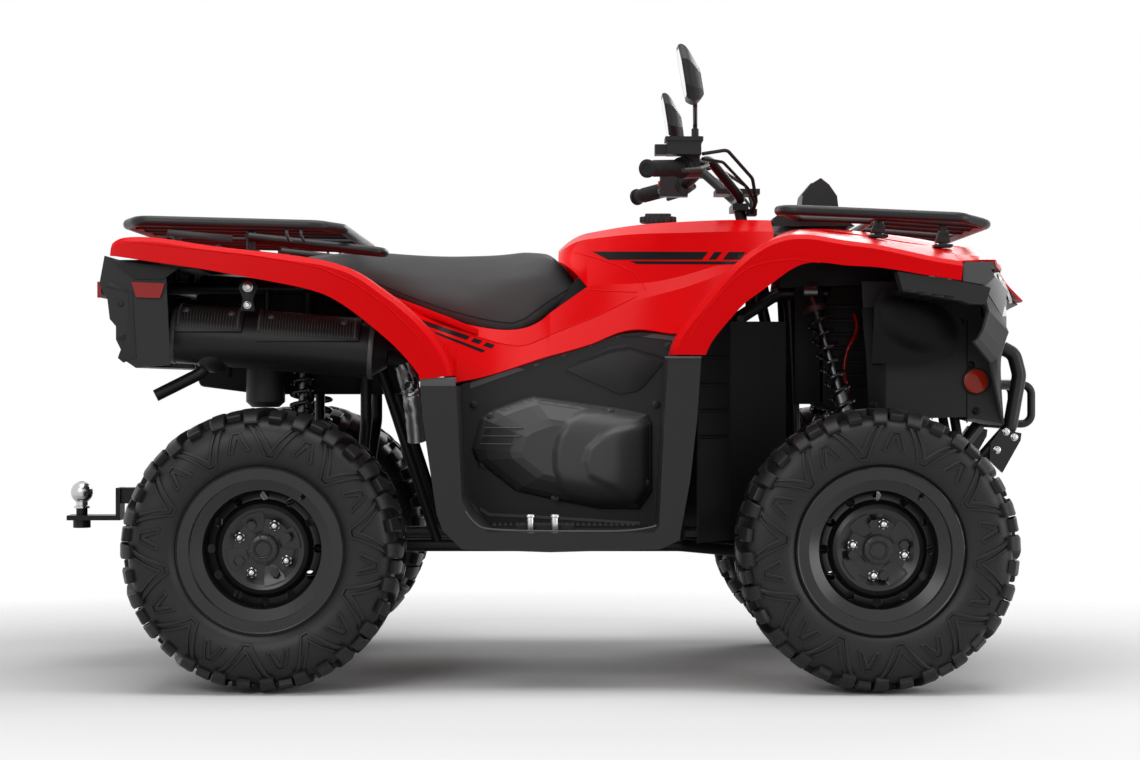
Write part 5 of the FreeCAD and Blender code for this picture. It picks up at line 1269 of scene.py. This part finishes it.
def silencer_trim():
    """Corrugated heat shields, their rolled rims and bolts, and the can's seams."""
    form = bmesh.new()
    away = round_can(BOLT_ANGLE)
    for start, stop in SHIELDS:
        count = round((stop - start) / RIDGE_PITCH)
        for n in range(count + 1):
            middle = can_middle(start + (stop - start) * n / count)
            rim = n in (0, count)
            reach = CAN_RADIUS + (0.0078 if rim else 0.0070)
            spots = [middle + round_can(angle) * reach for angle in RIDGE_ANGLES]
            pipe(form, spots, 0.0030 if rim else 0.0017, 2)
        for share in (0.12, 0.88):
            middle = can_middle(start + (stop - start) * share)
            screw(form, middle + away * (CAN_RADIUS + 0.0085), away, 0.0062)
    seam = [(CAN_RADIUS + out, up) for out, up in CAN_SEAM + CAN_SEAM[:1]]
    for x in (-0.797, -0.374):
        middle = can_middle(x)
        along = (can_middle(x + 0.01) - middle).normalized()
        turned(form, seam, facing(middle, along), 64)
    piece("silencer_trim", form, shield_steel, 40)


SLEEVE_ROUTE = (
    (-0.284, -0.238, 0.520), (-0.290, -0.258, 0.600), (-0.297, -0.268, 0.645),
    (-0.312, -0.288, 0.695),
)
SLEEVE_RADIUS = 0.0205
SLEEVE_MIDDLE = Vector((-0.296, -0.262))
CRINKLE_DEPTH = 0.0011
CRINKLE_JITTER = 0.0005


def header_wrap():
    """The crinkled foil sleeve round the header pipe."""
    form = bmesh.new()
    pipe(form, SLEEVE_ROUTE, SLEEVE_RADIUS, 8)
    random.seed(31)
    for vert in form.verts:
        ripple = CRINKLE_DEPTH * math.sin(vert.co.z * 1150 + math.sin(vert.co.y * 190) * 2.2)
        vert.co += Vector((random.uniform(-1, 1), random.uniform(-1, 1), 0)) * CRINKLE_JITTER
        away = (vert.co.xy - SLEEVE_MIDDLE).to_3d()
        if away.length > 0.001:
            vert.co += away.normalized() * ripple
    piece("header_wrap", form, foil, 25, recalc=False)


def silencer_hanger():
    """The hanger plate over the silencer with its two bolts."""
    form = bmesh.new()
    prism(form, metres(HANGER), HANGER_FACE + 0.004, HANGER_FACE, 0.0016)
    bar(form, (-0.633, -0.330, 0.810), (-0.633, -0.398, 0.812), 0.007)
    bar(form, (-0.633, -0.300, 0.852), (-0.633, -0.398, 0.852), 0.008)
    piece("silencer_hanger", form, frame_paint, 35)
    form = bmesh.new()
    screws(form, [(-0.633, HANGER_FACE, 0.852)], 0.0088)
    screws(form, [(-0.634, HANGER_FACE, 0.813)], 0.0065)
    piece("hanger_bolts", form, zinc, 40)


# Controls

BAR_BEND = Vector((0.334, -0.206, 1.123))
BAR_TIP = Vector((0.225, -0.372, 1.106))
# Sections in millimetres, as radius and height
GRIP_RING = ((16.6, -2.4), (18, -1.4), (18.3, 0), (18, 1.4), (16.6, 2.4), (16.6, -2.4))
GRIP_CAP = ((0, 0), (18.5, 0), (20, 1.6), (20, 6), (18, 7.8), (11, 8.4), (9.5, 7), (0, 6.8))


def grip_trim():
    """Rings moulded on the grips and their end caps."""
    form = bmesh.new()
    run = BAR_TIP - BAR_BEND
    low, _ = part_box("grips")
    reach = (BAR_BEND.y - low[1]) / (BAR_BEND.y - BAR_TIP.y)
    tip = BAR_BEND + run * min(reach, 1.12)
    for n in range(11):
        turned(form, metres(GRIP_RING), facing(BAR_BEND + run * (0.50 + n * 0.042), run), 32)
    turned(form, metres(GRIP_CAP), facing(tip - run.normalized() * 0.006, run), 40)
    piece("grip_trim", form, grip_rubber, 40, both=True, body="steering")


def switch_trim():
    """The stop and light switches on the left housing, and the right fluid box's lid screws."""
    form = bmesh.new()
    slab(form, (0.2620, 0.218, 1.118), (0.2680, 0.240, 1.130), 0.0016)
    piece("stop_switch", form, lamp_red, 40, body="steering")
    form = bmesh.new()
    slab(form, (0.2625, 0.218, 1.102), (0.2680, 0.228, 1.112), 0.0014)
    slab(form, (0.2625, 0.231, 1.102), (0.2680, 0.241, 1.112), 0.0014)
    piece("light_switches", form, grey_cap, 40, body="steering")
    form = bmesh.new()
    lid = [(x, y, 1.1802) for x in (0.264, 0.334) for y in (-0.316, -0.260)]
    screws(form, lid, 0.0036, (0, 0, 1))
    bar(form, (0.299, -0.288, 1.1800), (0.299, -0.288, 1.1822), 0.010, 0.009)
    piece("fluid_box_screws", form, zinc, smooth=40, body="steering")


# The glass's outline across and up its own plane, in millimetres
MIRROR_OUTLINE = (
    (-54, -26), (-38, -51), (28, -51), (55, -16), (58, 28), (36, 51), (-27, 49), (-55, 19),
)
MIRROR_MIDDLE = Vector((0.2878, -0.432, 1.3023))
MIRROR_UP = Vector((-19, 0, 116)).normalized()


def mirror_glass():
    """The glass set in each mirror's rear face."""
    form = bmesh.new()
    root = [
        form.verts.new(MIRROR_MIDDLE + Vector((0, across, 0)) + MIRROR_UP * up)
        for across, up in metres(MIRROR_OUTLINE)
    ]
    drawn(form, [form.faces.new(root)], (0.003, 0, 0))
    piece("mirror_glass", form, mirror_silver, both=True, body="steering")


CAP_RIBS = 20
CAP_RADIUS = 0.0396


def fuel_cap_trim():
    """Grip ribs round the fuel cap and the bar across it."""
    low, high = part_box("fuel_cap")
    middle = Vector(((low[0] + high[0]) / 2, 0, 0))
    top = high[2]
    form = bmesh.new()
    for n in range(CAP_RIBS):
        angle = math.radians(360 / CAP_RIBS * n)
        place = middle + Vector((math.cos(angle) * CAP_RADIUS, math.sin(angle) * CAP_RADIUS, 0))
        foot = place + Vector((0, 0, low[2] + 0.002))
        bar(form, foot, place + Vector((0, 0, top + 0.0005)), 0.0030, 0.0026, 10, 0.0005)
    slab(
        form, (middle.x - 0.030, -0.0065, top - 0.001), (middle.x + 0.030, 0.0065, top + 0.0085),
        0.0028,
    )
    piece("fuel_cap_trim", form, black_moulding, smooth=40)


DISPLAY = ((578.8, 1076.5), (601, 1103.5), (604, 1101), (581.5, 1074))


def display_trim():
    """The instrument's glass, facing the rider."""
    form = bmesh.new()
    prism(form, metres(DISPLAY), -0.050, 0.050, 0.0005)
    piece("display_glass", form, black_gloss)


def peg_trim():
    """The foot pegs' bright pivot posts."""
    form = bmesh.new()
    for x in (-0.032, 0.020):
        bar(form, (x, -0.440, 0.336), (x, -0.440, 0.366), 0.0085)
        bar(form, (x, -0.440, 0.364), (x, -0.440, 0.370), 0.0120, 0.0110)
    piece("peg_posts", form, zinc, smooth=40, both=True)


# Rear end and foot wells

BALL_MIDDLE = (-1.068, 0, 0.397)
BALL_RADIUS = 0.0252
PEG_TEETH = 26
TOOTH_PITCH = 0.0118
FASCIA_FACET = ((-916, 908), (-772, 890), (-808, 864), (-868, 866))
FASCIA_EDGE = (
    (-928, 850), (-880, 838), (-880, 762), (-902, 700), (-890, 690), (-862, 700), (-870, 836),
    (-918, 862),
)
FASCIA_FACE = -0.4395
WELL_RIM = (
    (-0.166, -0.4965, 0.380), (-0.148, -0.4965, 0.352), (-0.115, -0.4965, 0.3400),
    (0.060, -0.4965, 0.3380), (0.198, -0.4965, 0.3385), (0.232, -0.4965, 0.350),
)


def tow_ball_finish():
    """The tow ball's bright head, with its flat crown and collar."""
    angles = [math.radians(28 + 8 * n) for n in range(16)]
    head = [(0, 0.0238), (0.0085, 0.0236), (0.0110, 0.0226)]
    head += [(BALL_RADIUS * math.sin(a), BALL_RADIUS * math.cos(a)) for a in angles]
    head += [(0.0134, -0.0225), (0.0134, -0.0300), (0.0180, -0.0320), (0.0180, -0.0360), (0, -0.0360)]
    form = bmesh.new()
    turned(form, head, Matrix.Translation(BALL_MIDDLE), 64)
    piece("tow_ball_finish", form, zinc, 40)


def rear_fascia_trim():
    """The facet pressed in the rear fascia's side, its screws, and the tail lamp's ribs."""
    form = bmesh.new()
    prism(form, metres(FASCIA_FACET), FASCIA_FACE, FASCIA_FACE - 0.0037, 0.0018)
    prism(form, metres(FASCIA_EDGE), FASCIA_FACE, FASCIA_FACE - 0.0023, 0.0012)
    screw_y = FASCIA_FACE - 0.0015
    screws(form, ((-0.896, screw_y, 0.815), (-0.894, screw_y, 0.745)), 0.006)
    piece("rear_fascia_trim", form, black_moulding, smooth=35, both=True)
    low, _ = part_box("tail_lamps")
    form = bmesh.new()
    for n in range(3):
        z = 0.836 + n * 0.009
        slab(form, (low[0] - 0.0006, -0.416, z), (low[0] + 0.003, -0.314, z + 0.0045))
    piece("tail_lamp_ribs", form, lamp_red, 40, both=True)


def footwell_trim():
    """Bright edges along the foot well's rim, the caps where the fenders land on it, and the
    teeth along the foot pegs' top edges."""
    form = bmesh.new()
    pipe(form, WELL_RIM, 0.0016, 3)
    slab(form, (-0.261, -0.4960, 0.6395), (-0.187, -0.4700, 0.6590), 0.0020)
    slab(form, (0.250, -0.4985, 0.6985), (0.326, -0.4700, 0.7030))
    piece("footwell_edges", form, pale_trim_and_highlight_grey, smooth=40, both=True, recalc=False)
    low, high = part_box("foot_pegs")
    foot, tip = high[2] - 0.0005, high[2] + 0.0052
    form = bmesh.new()
    for n in range(PEG_TEETH):
        x = -0.112 + n * TOOTH_PITCH
        tooth = [(x, foot), (x + 0.0075, foot), (x + 0.0038, tip)]
        prism(form, tooth, low[1] + 0.006, low[1] + 0.014, 0.0)
    piece("peg_teeth", form, cover_grey, smooth=20, both=True)


# Boxes inside, seen through the arches: outlines in millimetres, in X and Z

TOOL_BOX = (
    (-800, 720), (-780, 640), (-640, 622), (-330, 622), (-290, 660), (-290, 745), (-420, 845),
    (-560, 880), (-780, 890),
)
COWL = ((606, 600), (660, 580), (800, 600), (810, 760), (770, 868), (640, 868), (606, 780))
COWL_TOP = ((520, 860), (860, 872), (860, 905), (700, 925), (530, 930))
SEAT_POST = ((10, 760), (100, 760), (110, 890), (78, 888), (56, 868), (20, 812))
SEAT_BASE = (
    (-420, 868), (-325, 826), (-280, 808), (-214, 788), (-150, 772), (-110, 764), (-110, 735),
    (-240, 735), (-340, 770), (-430, 830),
)
SEAT_LEDGE = (
    (-600, 922), (-460, 890), (-390, 862), (-325, 834), (-214, 792), (-150, 766), (-150, 752),
    (-214, 776), (-330, 818), (-460, 872), (-600, 902),
)
BREATHER_HOSE = (
    (0.690, -0.118, 0.800), (0.700, -0.142, 0.770), (0.668, -0.150, 0.720),
    (0.662, -0.150, 0.670), (0.672, -0.138, 0.640), (0.676, -0.118, 0.630),
)


def box_across(form, outline, half, ease):
    """A box of an outline, as wide to one side of the middle as to the other."""
    prism(form, metres(outline), -half, half, ease)


def inner_boxes():
    """The tool box and shelf under the rear body, the fan's cowl in front, the base under the
    seat and the breather hose."""
    form = bmesh.new()
    box_across(form, TOOL_BOX, 0.118, 0.008)
    for x in (-0.72, -0.64, -0.56, -0.48, -0.40):
        slab(form, (x, -0.1215, 0.660), (x + 0.012, 0.1215, 0.800), 0.003)
    box_across(form, COWL, 0.112, 0.008)
    for y in (-0.108, 0.108):
        slab(form, (0.556, y - 0.004, 0.600), (0.622, y + 0.004, 0.862), 0.002)
    box_across(form, COWL_TOP, 0.112, 0.004)
    for n in range(7):
        z = 0.628 + n * 0.031
        slab(form, (0.630, -0.1155, z), (0.770, 0.1155, z + 0.010), 0.003)
    slab(form, (-0.926, -0.425, 0.900), (-0.700, 0.425, 0.908), 0.002)
    box_across(form, SEAT_POST, 0.182, 0.004)
    piece("inner_boxes", form, liner_and_shade_black, smooth=35)
    form = bmesh.new()
    box_across(form, SEAT_BASE, 0.176, 0.003)
    for _, side in SIDES:
        prism(form, metres(SEAT_LEDGE), side * 0.150, side * 0.236, 0.002)
    piece("seat_base", form, red_plastic, 35)
    form = bmesh.new()
    pipe(form, BREATHER_HOSE, 0.0042, 4)
    piece("breather_hose", form, lamp_red, smooth=180, recalc=False)


studio_camera()
studio_light()
studio_floor()
dress_nodes()
tyres()
wheel_nuts()
wheel_pressing()
coil_springs()
stripes()
creases()
panel_trim()
belt_cover_trim()
nose_cheeks()
arch_lining_trim()
side_reflectors()
bumper_trim()
grille()
headlamp_trim()
rack_trim()
silencer_trim()
header_wrap()
grip_trim()
switch_trim()
mirror_glass()
fuel_cap_trim()
display_trim()
peg_trim()
tow_ball_finish()
seat_pad()
seat_seam()
inner_boxes()
silencer_hanger()
rear_fascia_trim()
footwell_trim()
